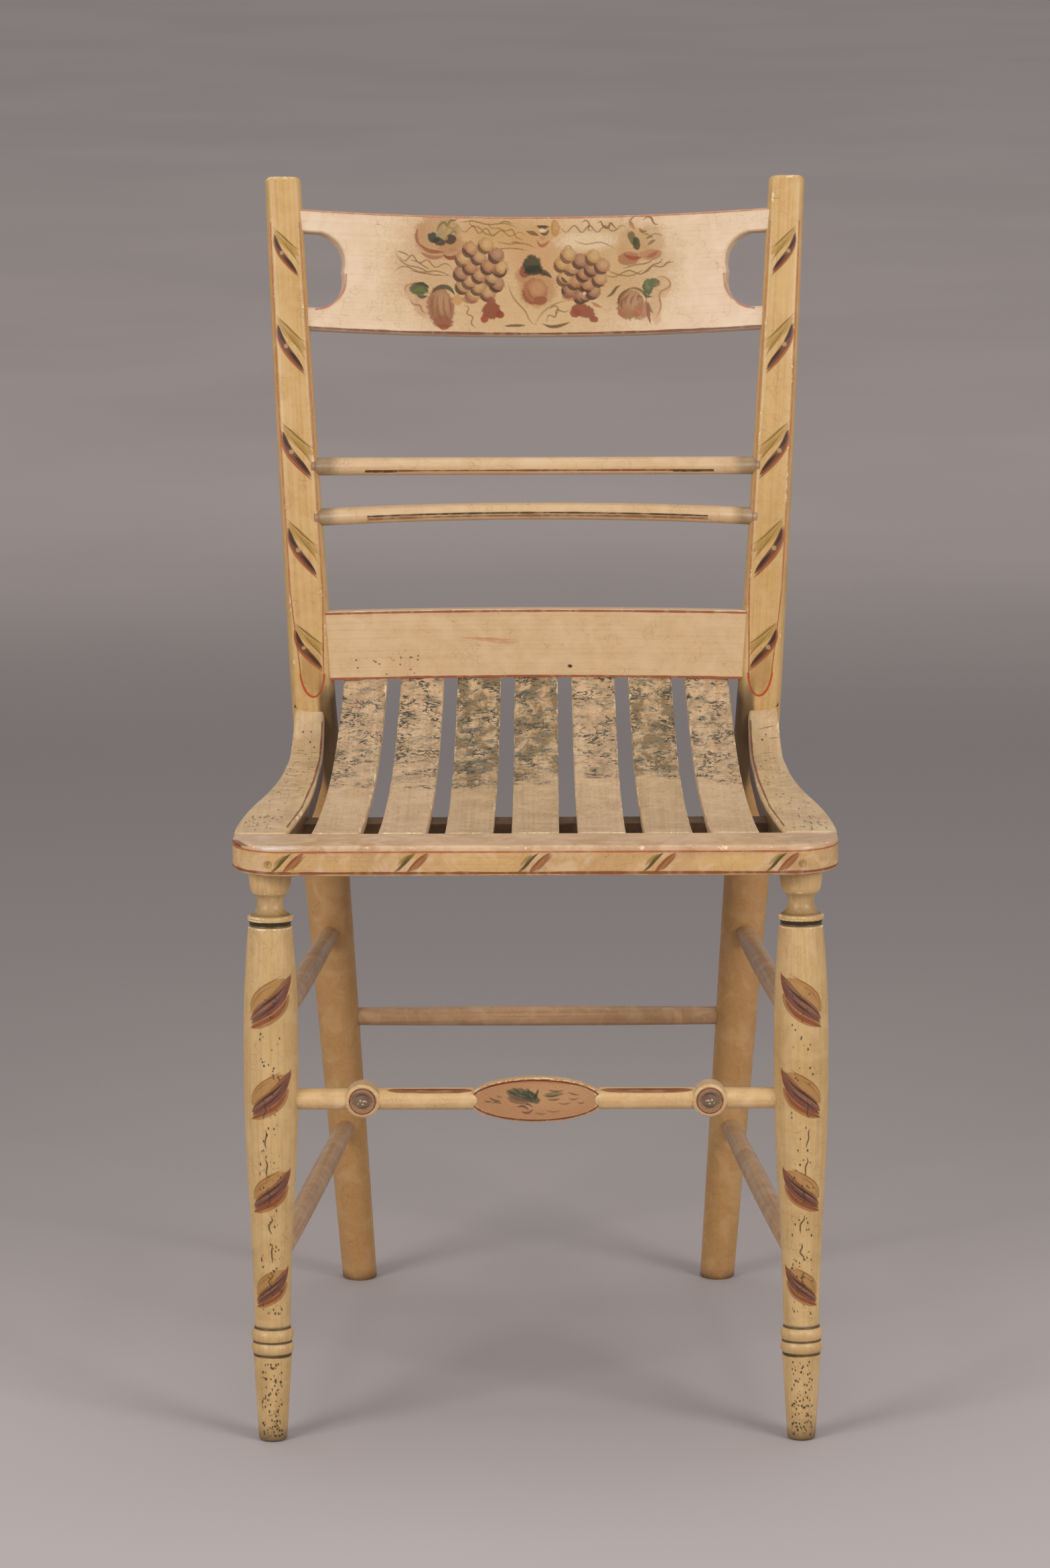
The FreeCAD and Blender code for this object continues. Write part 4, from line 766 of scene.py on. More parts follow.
# the middle of each grape
LEFT_GRAPES = ((-76, 139), (-100, 133), (-60, 124), (-87, 121), (-111, 118), (-72, 106), (-100, 105), (-53, 104),
               (-114, 95), (-86, 92), (-67, 89), (-101, 83), (-111, 75), (-59, 79), (-88, 74), (-73, 65), (-96, 62))
RIGHT_GRAPES = ((51, 124), (89, 120), (69, 115), (41, 110), (103, 106), (56, 104), (87, 102), (75, 94), (45, 88),
                (61, 82), (99, 86), (80, 77), (53, 70), (89, 67), (71, 60))
TENDRILS = Motif(brushes(
    "7c5826", 1.9, 76,
    "-211,127 -200,124 -193,120", "-192,114 -179,111 -172,106 -162,101",
    "-101,180 -99,171 -88,168 -78,159 -64,156 -54,161", "-72,175 -68,167 -54,166 -44,162 -36,165 -30,154 -16,149",
    "-57,172 -47,177 -35,173", "72,174 78,178 84,171 82,163 90,162", "112,99 133,91 154,92 166,99",
    "164,93 175,98 182,106 190,108 197,116", "196,101 203,108 212,109", "-38,144 -30,145 -21,143",
    "-64,133 -33,135 -12,132", "-119,172 -107,160 -95,169 -86,158 -75,166 -66,154 -53,163 -39,154 -25,160 -13,154",
    "-116,174 -95,177 -72,172 -48,174 -25,166", "134,101 158,107 175,110 187,121",
    "37,172 49,160 61,170 72,159 84,170 96,159 108,169 119,160 134,169 143,160",
    "-213,124 -198,113 -189,122 -178,110 -166,115 -154,104 -139,110 -125,98",
    "-216,96 -201,104 -178,96 -154,98 -125,88", "-212,118 -196,106 -180,103 -160,93",
    "102,96 122,89 146,98 163,92 181,104 193,102 208,113", "-60,146 -40,142 -20,143 0,136",
    "60,147 78,141 100,143 122,133", "43,131 51,139 57,133 55,122 66,121", "81,128 90,125 95,116",
    "170,146 185,154 196,150", "-192,98 -163,93 -132,91", "22,40 32,45 36,38 30,32",
    "-110,46 -102,41 -105,33 -96,28 -98,20 -90,10", "18,20 22,31 31,28 33,39 43,36 54,40", taper=0.25,
))
GRAPE_TONES = (("a06c46", "bd9266", "42200e"), ("97623f", "b5855a", "3e1c0c"), ("8e5c42", "ad805e", "3c190e"),
               ("ae804e", "c8a06c", "5a3616"), ("a3764e", "c09868", "4a2612"))
GRAPE_SHADE = ((-11.0, 4.5), (-8.5, -6.5), (-1.0, -11.0), (7.0, -9.0))


def bunch(spots: Sequence[tuple[int, int]], seed: int) -> Motif:
    """A bunch of grapes: each a dab with a light middle, and a dark crescent along its lower left side."""
    marks: list[Brush | Dab] = []
    dice = np.random.default_rng(seed)
    for x, y in spots[::-1]:
        main, light, shade = GRAPE_TONES[dice.integers(len(GRAPE_TONES))]
        crescent = " ".join(f"{x + dx},{y + dy}" for dx, dy in GRAPE_SHADE)
        marks += [Dab(main, 88, (x, y, 11.8, 12.2), light=light), Brush(shade, 6.4, 92, crescent)]
    return Motif(tuple(marks))


def sheet(surface: Surface, x: Array, y: Array, lift: float, faces: Array, colour: Array, cover: Array) -> Skin:
    """Painted faces between points that lie a lift off a surface."""
    none = np.zeros(len(x))
    return Skin(surface(x, y, lift), [faces], np.stack([x, y, none], 1) * MM, none, none,
                np.concatenate([colour, cover[:, None]], 1))


def film(canvas: Canvas, surface: Surface) -> Skin:
    """The painted part of a canvas as a thin sheet just off a surface, without its bare faces."""
    x, y = np.meshgrid(canvas.x, canvas.y, indexing="ij")
    faces = grid_faces(len(canvas.x), len(canvas.y), False)[:, ::-1]
    cover = canvas.cover.reshape(-1)
    faces = faces[cover[faces].max(1) > BARE]
    used, faces = np.unique(faces, return_inverse=True)
    return sheet(surface, x.reshape(-1)[used], y.reshape(-1)[used], FILM_LIFT, faces.reshape(-1, 4),
                 canvas.colour.reshape(-1, 3)[used], cover[used])


def lining(surface: Surface, line: Array, width: float, colour: str, *, lift: float = LINE_LIFT, seed: int = 0,
           strength: float = 0.9) -> Skin:
    """A painted line along a path on a surface, uneven in width and strength as one drawn by hand.

    Args:
        surface: gives points from x, y and the lift.
        line: the path in the surface's x and y.
        width: of the line.
        colour: of the paint.
        lift: how far off the surface it is.
        seed: of its unevenness.
        strength: how much it hides.

    Returns:
        The line as a thin sheet with soft edges.
    """
    way = unit(np.gradient(line, axis=0))
    across = np.stack([-way[:, 1], way[:, 0]], 1)
    run = distances(line)
    half = width / 2 * (0.75 + 0.5 * scatter(run * 0.11, run * 0, seed))
    steps = np.array([-1.35, -0.8, 0.8, 1.35])
    spots = line[:, None] + across[:, None] * (half[:, None] * steps)[..., None]
    hold = strength * (0.62 + 0.38 * smoothstep(0.15, 0.45, scatter(run * 0.35, run * 0 + 3, seed + 1)))
    cover = hold[:, None] * np.array([0, 1, 1, 0])
    x, y = spots.reshape(-1, 2).T
    return sheet(surface, x, y, lift, grid_faces(len(line), 4, False)[:, ::-1],
                 np.broadcast_to(hue(colour), (len(x), 3)), cover.reshape(-1))


# ---------------------------------------------------------------- finishes


# the thin dull varnish over the paint
VARNISH = {"Coat Weight": 0.08, "Coat Roughness": 0.25, "IOR": 1.45}


class Socket:
    """A socket of a material, on which sums can be written."""

    def __init__(self, recipe: "Recipe", socket: bpy.types.NodeSocket) -> None:
        """Keeps the socket and the recipe that it belongs to."""
        self.recipe = recipe
        self.socket = socket

    def _sum(self, operation: str, first: Any, second: Any) -> "Socket":
        """A Math node over two values or sockets."""
        return self.recipe.node("ShaderNodeMath", {"operation": operation}, {0: first, 1: second})

    def __add__(self, other: Any) -> "Socket":
        """This plus the other."""
        return self._sum("ADD", self, other)

    def __radd__(self, other: Any) -> "Socket":
        """The other plus this."""
        return self._sum("ADD", other, self)

    def __sub__(self, other: Any) -> "Socket":
        """This less the other."""
        return self._sum("SUBTRACT", self, other)

    def __rsub__(self, other: Any) -> "Socket":
        """The other less this."""
        return self._sum("SUBTRACT", other, self)

    def __mul__(self, other: Any) -> "Socket":
        """This times the other."""
        return self._sum("MULTIPLY", self, other)

    def __rmul__(self, other: Any) -> "Socket":
        """The other times this."""
        return self._sum("MULTIPLY", other, self)

    def __abs__(self) -> "Socket":
        """This without its sign."""
        return self._sum("ABSOLUTE", self, 0.0)


class Recipe:
    """A material in the making."""

    def __init__(self, name: str) -> None:
        """Starts a material with nothing in it but its output."""
        self.material = bpy.data.materials.new(name)
        self.material.use_nodes = True
        self.tree = self.material.node_tree
        self.tree.nodes.clear()
        self.end = self.tree.nodes.new("ShaderNodeOutputMaterial")

    def node(self, kind: str, settings: dict[str, Any], inputs: dict[Any, Any], output: int | str = 0) -> Socket:
        """Adds a node.

        Args:
            kind: its type.
            settings: its own properties, set first.
            inputs: values or sockets for its inputs, by name or number.
            output: which of its outputs is wanted.

        Returns:
            That output.
        """
        made = self.tree.nodes.new(kind)
        for key, value in settings.items():
            setattr(made, key, value)
        for key, value in inputs.items():
            if isinstance(value, Socket):
                self.tree.links.new(value.socket, made.inputs[key])
            else:
                made.inputs[key].default_value = value
        return Socket(self, made.outputs[output])

    def attribute(self, name: str, output: str = "Fac") -> Socket:
        """A value that the mesh carries."""
        return self.node("ShaderNodeAttribute", {"attribute_name": name}, {}, output)

    def place(self) -> Socket:
        """Where a point is on the object."""
        return self.node("ShaderNodeTexCoord", {}, {}, "Object")

    def part(self, vector: Socket, axis: int) -> Socket:
        """One of a place's three numbers."""
        return self.node("ShaderNodeSeparateXYZ", {}, {0: vector}, axis)

    def scaled(self, vector: Socket, by: Triple) -> Socket:
        """A place multiplied by a scale on each axis."""
        return self.node("ShaderNodeVectorMath", {"operation": "MULTIPLY"}, {0: vector, 1: by})

    def noise(self, vector: Socket, scale: float, detail: float = 3.0, rough: float = 0.55,
              stir: float = 0.0) -> Socket:
        """Cloudy noise from 0 to 1."""
        return self.node("ShaderNodeTexNoise", {}, {"Vector": vector, "Scale": scale, "Detail": detail,
                                                    "Roughness": rough, "Distortion": stir})

    def cells(self, vector: Socket, scale: float) -> Socket:
        """Distance to the nearest crack between cells."""
        return self.node("ShaderNodeTexVoronoi", {"feature": "DISTANCE_TO_EDGE"},
                         {"Vector": vector, "Scale": scale}, "Distance")

    def ramp(self, value: Socket, low: float, high: float) -> Socket:
        """0 at low and 1 at high, by an S curve between them; low may be the greater."""
        return self.node("ShaderNodeMapRange", {"interpolation_type": "SMOOTHSTEP"},
                         {"Value": value, "From Min": low, "From Max": high})

    def blend(self, share: Any, first: Any, second: Any) -> Socket:
        """The first colour where share is 0 and the second where it is 1."""
        ends = [c if isinstance(c, Socket) else (*hue(c), 1.0) for c in (first, second)]
        return self.node("ShaderNodeMix", {"data_type": "RGBA"}, {0: share, 6: ends[0], 7: ends[1]}, 2)

    def bump(self, height: Socket, strength: float, depth: float) -> Socket:
        """The normal of a surface that rises and falls by a depth, in metres."""
        return self.node("ShaderNodeBump", {}, {"Strength": strength, "Distance": depth, "Height": height})

    def finish(self, inputs: dict[str, Any]) -> bpy.types.Material:
        """Ends the material with one shader, and gives it back."""
        shader = self.node("ShaderNodeBsdfPrincipled", {}, inputs)
        self.tree.links.new(shader.socket, self.end.inputs["Surface"])
        return self.material


@dataclass(frozen=True)
class OldPaint:
    """Hand brushed paint that has yellowed, crazed and worn, over wood.

    Attributes:
        name: of the finish.
        coat: its main colour.
        deep: where the brush left more of it.
        pale: where it is rubbed thin.
        wood: what shows at worn edges.
        grime: what has settled in hollows and crazing; it also paints shade where the mesh marks it.
        streak: how strongly brush marks show.
        cloud: how strongly its tone drifts.
        speck: how many flecks of dirt it has.
        wear: how far its edges are worn.
        rough: its roughness.
        marks: how strongly the dark curls and stains of a worn seat show.
        marks_from: how far back in the frame they begin, in metres.
        lower: its colour below a height, where that differs.
        lower_from: that height, in metres.
        lower_soft: over how much height the two meet.
        lower_share: how strongly the lower colour shows.
    """

    name: str
    coat: str
    deep: str
    pale: str
    wood: str = "e8cfa6"
    grime: str = "4a3520"
    streak: float = 0.5
    cloud: float = 0.5
    speck: float = 0.5
    wear: float = 0.5
    rough: float = 0.42
    marks: float = 0.0
    marks_from: float = -0.05
    lower: str | None = None
    lower_from: float = 0.0
    lower_soft: float = 0.002
    lower_share: float = 1.0

    def make(self) -> bpy.types.Material:
        """The material: brush streaks along the piece, drifting tone, crazing, flecks, worn edges, and dirt that also
        carries painted shade.
        """
        r = Recipe(self.name)
        place = r.place()
        flow = r.attribute("flow", "Vector")
        rub = r.attribute("rub")
        soil_and_shade = r.attribute("soil_and_shade")
        brush = r.noise(r.scaled(flow, (5.0, 420.0, 420.0)), 1.0, 4.0, 0.6, 0.3)
        broad = r.noise(place, 16.0, 4.0, 0.6)
        patch = r.noise(place, 60.0, 3.0, 0.6, 0.6)
        fine = r.noise(place, 700.0, 2.0, 0.7)
        coat: str | Socket = self.coat
        if self.lower:
            below = r.ramp(r.part(place, 2), self.lower_from, self.lower_from - self.lower_soft)
            coat = r.blend(below * self.lower_share, self.coat, self.lower)
        colour = r.blend(r.ramp(brush, 0.40, 0.68) * self.streak, coat, self.deep)
        colour = r.blend(r.ramp(broad, 0.42, 0.72) * self.cloud, colour, self.deep)
        colour = r.blend(r.ramp(patch, 0.54, 0.34) * self.cloud * 0.7, colour, self.pale)
        if self.marks:
            colour = self.worn_seat(r, colour, place, flow)
        craze = r.ramp(r.cells(r.node("ShaderNodeVectorMath", {"operation": "ADD"}, {
            0: place, 1: r.scaled(r.node("ShaderNodeTexNoise", {}, {"Vector": place, "Scale": 90.0}, "Color"),
                                  (0.006, 0.006, 0.006))}), 170.0), 0.035, 0.0)
        crazed = craze * r.ramp(patch, 0.45, 0.65)
        colour = r.blend(crazed * 0.35, colour, self.grime)
        fleck = r.ramp(fine, 0.70, 0.76) * r.ramp(broad, 0.35, 0.6)
        colour = r.blend(fleck * self.speck, colour, self.grime)
        worn = r.ramp(rub * 0.55 + (patch - 0.5) * 1.6 + (fine - 0.5) * 0.8, 0.62 - 0.35 * self.wear,
                      0.82 - 0.35 * self.wear)
        worn = worn * r.ramp(rub, 0.02, 0.25)
        colour = r.blend(worn, colour, self.wood)
        # darkens to grime by a value the mesh carries: real dirt in hollows and at the feet, and painted shade where
        # the mesh marks it
        dirt = r.ramp(soil_and_shade + patch * 0.25 - 0.12, 0.1, 0.75)
        colour = r.blend(dirt * 0.8, colour, self.grime)
        bump = r.bump(brush * 0.35 + fine * 0.12 - crazed * 0.5 - worn * 0.4, 0.5, 0.0002)
        return r.finish({"Base Color": colour, "Roughness": self.rough + 0.16 * patch + 0.15 * worn - 0.06,
                         "Normal": bump, **VARNISH})

    def worn_seat(self, r: Recipe, colour: Socket, place: Socket, flow: Socket) -> Socket:
        """Brown and grey green stains and short dark curls, from a line across the seat to its back.

        A curl lies where a stirred noise passes its middle value: |noise - 0.5| is small there.
        """
        broad = r.noise(place, 17.0, 3.0, 0.6)
        depth = r.part(place, 1) + (broad - 0.5) * 0.22
        top = r.ramp(r.part(flow, 2), 0.004, 0.001)
        old = r.ramp(depth, self.marks_from, self.marks_from + 0.05) * top * self.marks
        brown = r.noise(r.scaled(flow, (1.0, 1.6, 1.0)), 46.0, 4.0, 0.7, 0.5)
        green = r.noise(r.scaled(flow, (1.5, 0.8, 1.0)), 88.0, 4.0, 0.72, 0.9)
        stir = r.noise(r.scaled(flow, (1.25, 0.85, 1.0)), 98.0, 3.0, 0.6, 1.4)
        where = r.noise(place, 52.0, 3.0, 0.6)
        fine = r.noise(r.scaled(flow, (1.0, 0.7, 1.0)), 420.0, 3.0, 0.7)
        colour = r.blend(r.ramp(brown, 0.40, 0.62) * old * old * 0.9, colour, "826a49")
        colour = r.blend(r.ramp(green, 0.49, 0.64) * old * 0.9, colour, "6a6a5c")
        curl = r.ramp(abs(stir - 0.5), 0.055, 0.02) * r.ramp(where, 0.48, 0.57)
        colour = r.blend(curl * r.ramp(old, 0.0, 0.5), colour, "33352d")
        spot = r.ramp(fine * 0.75 + green * 0.35, 0.60, 0.68)
        return r.blend(spot * (old * 0.55 + 0.42), colour, "4a3c2c")


@dataclass(frozen=True)
class StencilPaint:
    """Thin decoration whose colours and cover the mesh carries, rubbed through in flecks."""

    name: str
    gap: float = 0.25
    rough: float = 0.4

    def make(self) -> bpy.types.Material:
        """The material: the mesh's own colour, a little uneven, and see-through where it is bare or rubbed."""
        r = Recipe(self.name)
        place = r.place()
        colour = r.attribute("paint", "Color")
        cover = r.attribute("paint", "Alpha")
        patch = r.noise(place, 420.0, 3.0, 0.6)
        fine = r.noise(place, 1500.0, 2.0, 0.6)
        hold = 1.0 - r.ramp(patch * 0.7 + fine * 0.45, 0.66, 0.80) * self.gap
        tinted = r.blend(r.ramp(fine, 0.35, 0.75) * 0.25, colour, "2a1a0e")
        bump = r.bump(fine, 0.3, 0.0001)
        return r.finish({"Base Color": tinted, "Roughness": self.rough + 0.1 * patch, "Alpha": cover * hold,
                         "Normal": bump, **VARNISH})


@dataclass(frozen=True)
class BareStuff:
    """Wood or iron left without paint, on a piece that the frame keeps."""

    name: str
    main: str
    dark: str
    rough: float = 0.6
    metal: float = 0.0
    stretch: Triple = (400.0, 90.0, 400.0)

    def make(self) -> bpy.types.Material:
        """The material: a grain or scale of two colours, with bump."""
        r = Recipe(self.name)
        place = r.place()
        grain = r.noise(r.scaled(place, self.stretch), 1.0, 4.0, 0.6)
        fine = r.noise(place, 1800.0, 3.0, 0.7)
        colour = r.blend(r.ramp(grain * 0.8 + fine * 0.3, 0.40, 0.68), self.main, self.dark)
        bump = r.bump(grain + fine * 0.4, 0.6, 0.0002)
        return r.finish({"Base Color": colour, "Roughness": self.rough + 0.2 * fine, "Metallic": self.metal,
                         "Normal": bump})


class Finish(Enum):
    """The finishes on the chair."""

    POST = OldPaint("old_post_paint", "c8a26a", "b38748", "d4b384", cloud=0.35, speck=0.5, wear=0.25,
                    lower="b28454", lower_from=0.425, lower_soft=0.04, lower_share=0.85)
    LEG = OldPaint("old_leg_paint", "c7a471", "b08952", "d6b787", cloud=0.4, speck=0.7, wear=0.3)
    CREST = OldPaint("old_crest_paint", "d5b999", "c8a57c", "e0ccb2", streak=0.35, cloud=0.3, speck=0.3, wear=0.4)
    BACK = OldPaint("old_back_paint", "cfae85", "bf986a", "dec4a0", streak=0.4, cloud=0.35, speck=0.6, wear=0.5)
    RAIL = OldPaint("old_front_rail_paint", "c5a27f", "ad8661", "d6b592", "ecc8a4", streak=0.4, cloud=0.8, speck=0.8,
                    wear=0.6, rough=0.36, lower="caa268", lower_from=0.4372)
    SIDE = OldPaint("old_side_rail_paint", "cbab80", "af895e", "d6bb92", streak=0.4, cloud=0.7, speck=0.8, wear=0.5,
                    lower="a87e50", lower_from=0.4372)
    SEAT = OldPaint("old_slat_paint", "cbab87", "b38d69", "d8bb98", streak=0.5, cloud=0.6, speck=0.7, wear=0.45,
                    marks=0.65)
    SHADED_SEAT = OldPaint("stained_slat_paint", "c2a37d", "a4845e", "cfb48e", streak=0.5, cloud=0.7, speck=0.8,
                           wear=0.45, marks=1.2, marks_from=-0.045)
    STRETCHER = OldPaint("old_stretcher_paint", "b48d68", "8e6a48", "c6a580", speck=0.8, wear=0.4)
    FRONT_BAR = OldPaint("old_front_stretcher_paint", "d4b07f", "bf9560", "e2c79c", speck=0.6, wear=0.3)
    UNDERSIDE = OldPaint("underside_wash", "5a4028", "3e2a18", "7a5a3a", "5a4028", streak=0.7, cloud=0.7, rough=0.65)
    STENCIL = StencilPaint("stencil_paint")
    WOOD = BareStuff("pin_wood", "b8925c", "8a653a")
    IRON = BareStuff("rusty_nail", "3a332d", "5b3a22", rough=0.62, metal=0.7, stretch=(900.0, 900.0, 900.0))

    def material(self) -> bpy.types.Material:
        """The finish's material, made the first time that it is asked for."""
        known = bpy.data.materials.get(self.value.name)
        return known or self.value.make()


# ---------------------------------------------------------------- placing pieces


@dataclass
class Bench:
    """Where finished surfaces become pieces of the chair; from an angle of crease, in degrees, an edge is sharp."""

    front: float
    crease: float = 42.0
    made: list[str] = field(default_factory=list)

    def piece(self, name: str, skin: Skin, finish: Finish, slot: str, *stands_for: str) -> None:
        """Makes a piece from a surface, dresses it and lets it ride on the chair.

        Args:
            name: of the piece.
            skin: its surface in millimetres from the seat's front.
            finish: its material.
            slot: not used.
            stands_for: the frame's nodes that it replaces.
        """
        mesh = bpy.data.meshes.new(name)
        points = (skin.points + (0, self.front, 0)) * MM
        loops = np.concatenate([f.reshape(-1) for f in skin.faces]).astype(np.int32)
        sizes = np.concatenate([np.full(len(f), f.shape[1]) for f in skin.faces]).astype(np.int32)
        mesh.vertices.add(len(points))
        mesh.vertices.foreach_set("co", points.astype(np.float32).reshape(-1))
        mesh.loops.add(len(loops))
        mesh.loops.foreach_set("vertex_index", loops)
        mesh.polygons.add(len(sizes))
        mesh.polygons.foreach_set("loop_start", np.concatenate([[0], np.cumsum(sizes)[:-1]]).astype(np.int32))
        mesh.update(calc_edges=True)
        mesh.validate()
        mesh.polygons.foreach_set("use_smooth", np.ones(len(mesh.polygons), bool))
        for key, kind, word in (("flow", "FLOAT_VECTOR", "vector"), ("rub", "FLOAT", "value"),
                                ("soil_and_shade", "FLOAT", "value"), ("paint", "FLOAT_COLOR", "color")):
            values = getattr(skin, key)
            if values is not None:
                layer = mesh.attributes.new(key, kind, "POINT")
                layer.data.foreach_set(word, np.asarray(values, np.float32).reshape(-1))
        if skin.paint is None:
            mesh.set_sharp_from_angle(angle=math.radians(self.crease))
        mesh.materials.append(finish.material())
        made = bpy.data.objects.new(name, mesh)
        bpy.context.scene.collection.objects.link(made)
        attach(made, "root")
        if stands_for:
            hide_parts(*stands_for)
        self.made.append(name)
        LOG.info("made %s: %d points, %d faces", name, len(points), len(sizes))


# ---------------------------------------------------------------- the chair's parts


@dataclass
class FrontLeg:
    """A turned front leg: tapered foot, two beads, a long vase, and a cup and neck under the seat."""

    foot: Triple = (191.0, 13.0, 0.0)
    top: Triple = (189.5, 36.0, 418.0)
    length: float = 418.64

    def profile(self) -> list[Pair]:
        """The outline as widths at distances from the foot."""
        n = self.length
        steps = [(0.0, 20.2), (62.0, 27.5), (64.0, 27.2), Via((68.5, 30.6)), (73.0, 27.2), Via((77.5, 30.6)),
                 (83.0, 25.6), Via((n * 0.2938, 27.6)), (n * 0.4156, 32.2), Via((n * 0.53, 37.4)),
                 (n * 0.681, 39.4), Via((n - 78.6, 36.8)), (n - 43.2, 31.6), Via((n - 40.4, 29.0)),
                 (n - 38.2, 32.6), (n - 35.4, 32.6), Via((n - 25.8, 18.6)), (n - 18.2, 26.4), (n - 15.8, 28.4),
                 (n + 1.5, 33.0)]
        return [type(p)((p[0], p[1] / 2)) for p in steps]

    def turning(self) -> Turning:
        """The leg as a turned bar, for the right side."""
        outline = trace(self.profile(), 0.5)
        body = softened(outline, 1.1)
        body[0], body[-1] = outline[0], outline[-1]
        body = thinned(body, 4.0, 0.10)
        foot = np.array([[0.0, body[0, 1] - 1.6], [0.25, body[0, 1] - 0.8], [1.0, body[0, 1] - 0.15]])
        body = np.concatenate([foot, body[body[:, 0] > 1.6]])
        share = body[:, 0] / self.length
        return Turning(lerp(self.foot, self.top, share[:, None]), body[:, 1])

    def build(self, bench: Bench) -> None:
        """Makes both legs with their leaves and dark rings."""
        bar = self.turning()
        skin = bar.skin()
        skin.points[:, 2] = np.maximum(skin.points[:, 2], 0.0)
        skin.soil_and_shade = np.maximum(skin.soil_and_shade, 0.75 * np.exp(-skin.points[:, 2] / 14.0))
        for side in Side:
            bench.piece(f"front_leg_{side.word}_turned", skin.on(side), Finish.LEG, "frame_paint",
                        f"front_leg_{side.word}")
            bench.piece(f"front_leg_{side.word}_leaves", self.leaves(bar, side).on(side), Finish.STENCIL,
                        "frame_paint")

    def leaves(self, bar: Turning, side: Side) -> Skin:
        """Four leaves up the front of the leg, painted rings round it in its grooves, and a dark ring of painted
        shade just under the seat rail.
        """
        def surface(across: Array, run: Array, lift: float) -> Array:
            """Points on the leg by the distance round it and up it."""
            return bar.surface(run, across, lift)

        canvas = Canvas((-20.0, 92.0), (20.0, 346.0))
        for index, (height, wide, high) in enumerate(((114.5, 24.0, 31.0), (185.5, 27.0, 33.5), (256.0, 28.0, 37.0),
                                                      (323.5, 29.5, 40.0))):
            LEAF.paint(canvas, (-0.5, height), (wide, high) / LEAF_SIZE, 5 * index + side.value + 1, 0.35)
        dice = np.random.default_rng(31 + side.value)
        height = np.linspace(252.0, 94.0, 46)
        crack = np.stack([2.0 + 2.2 * np.sin(height / 31) + dice.uniform(-1.5, 1.5, 46), height], 1)
        for first in range(0, 40, 6):
            canvas.stroke(crack[first:first + 5], 0.9, "32271b", strength=0.8, taper=0.3, seed=first)
        foot = Canvas((-12.0, 2.0), (12.0, 60.0))
        for x, up, size in dice.uniform((-8.0, 0.0, 0.2), (8.0, 1.0, 0.62), (120, 3)):
            for place, low, high in ((canvas, 94.0, 330.0), (foot, 4.0, 59.0)):
                place.blot((x, low + (high - low) * up**1.3), (size, 1.7 * size), "3a2d1e", strength=0.75)
        painted = film(canvas, surface).joined(film(foot, surface))
        rings = []
        # dark painted rings in the groove and at the beads; the last, just under the seat rail, is painted shade
        for run, width, strength, colour in ((self.length - 40.2, 2.5, 0.92, "35290f"), (73.0, 1.2, 0.35, "6b5430"),
                                             (83.2, 1.3, 0.4, "5c4a28"), (63.0, 1.6, 0.6, "4a3a20"),
                                             (self.length - 2.6, 3.0, 0.7, "4a3418")):
            round_it = np.pi * float(np.interp(run, bar.run, bar.radius))
            rings.append(lining(surface, level(-round_it, round_it, run, 90), width, colour, seed=int(run),
                                strength=strength))
        return painted.joined(*rings)


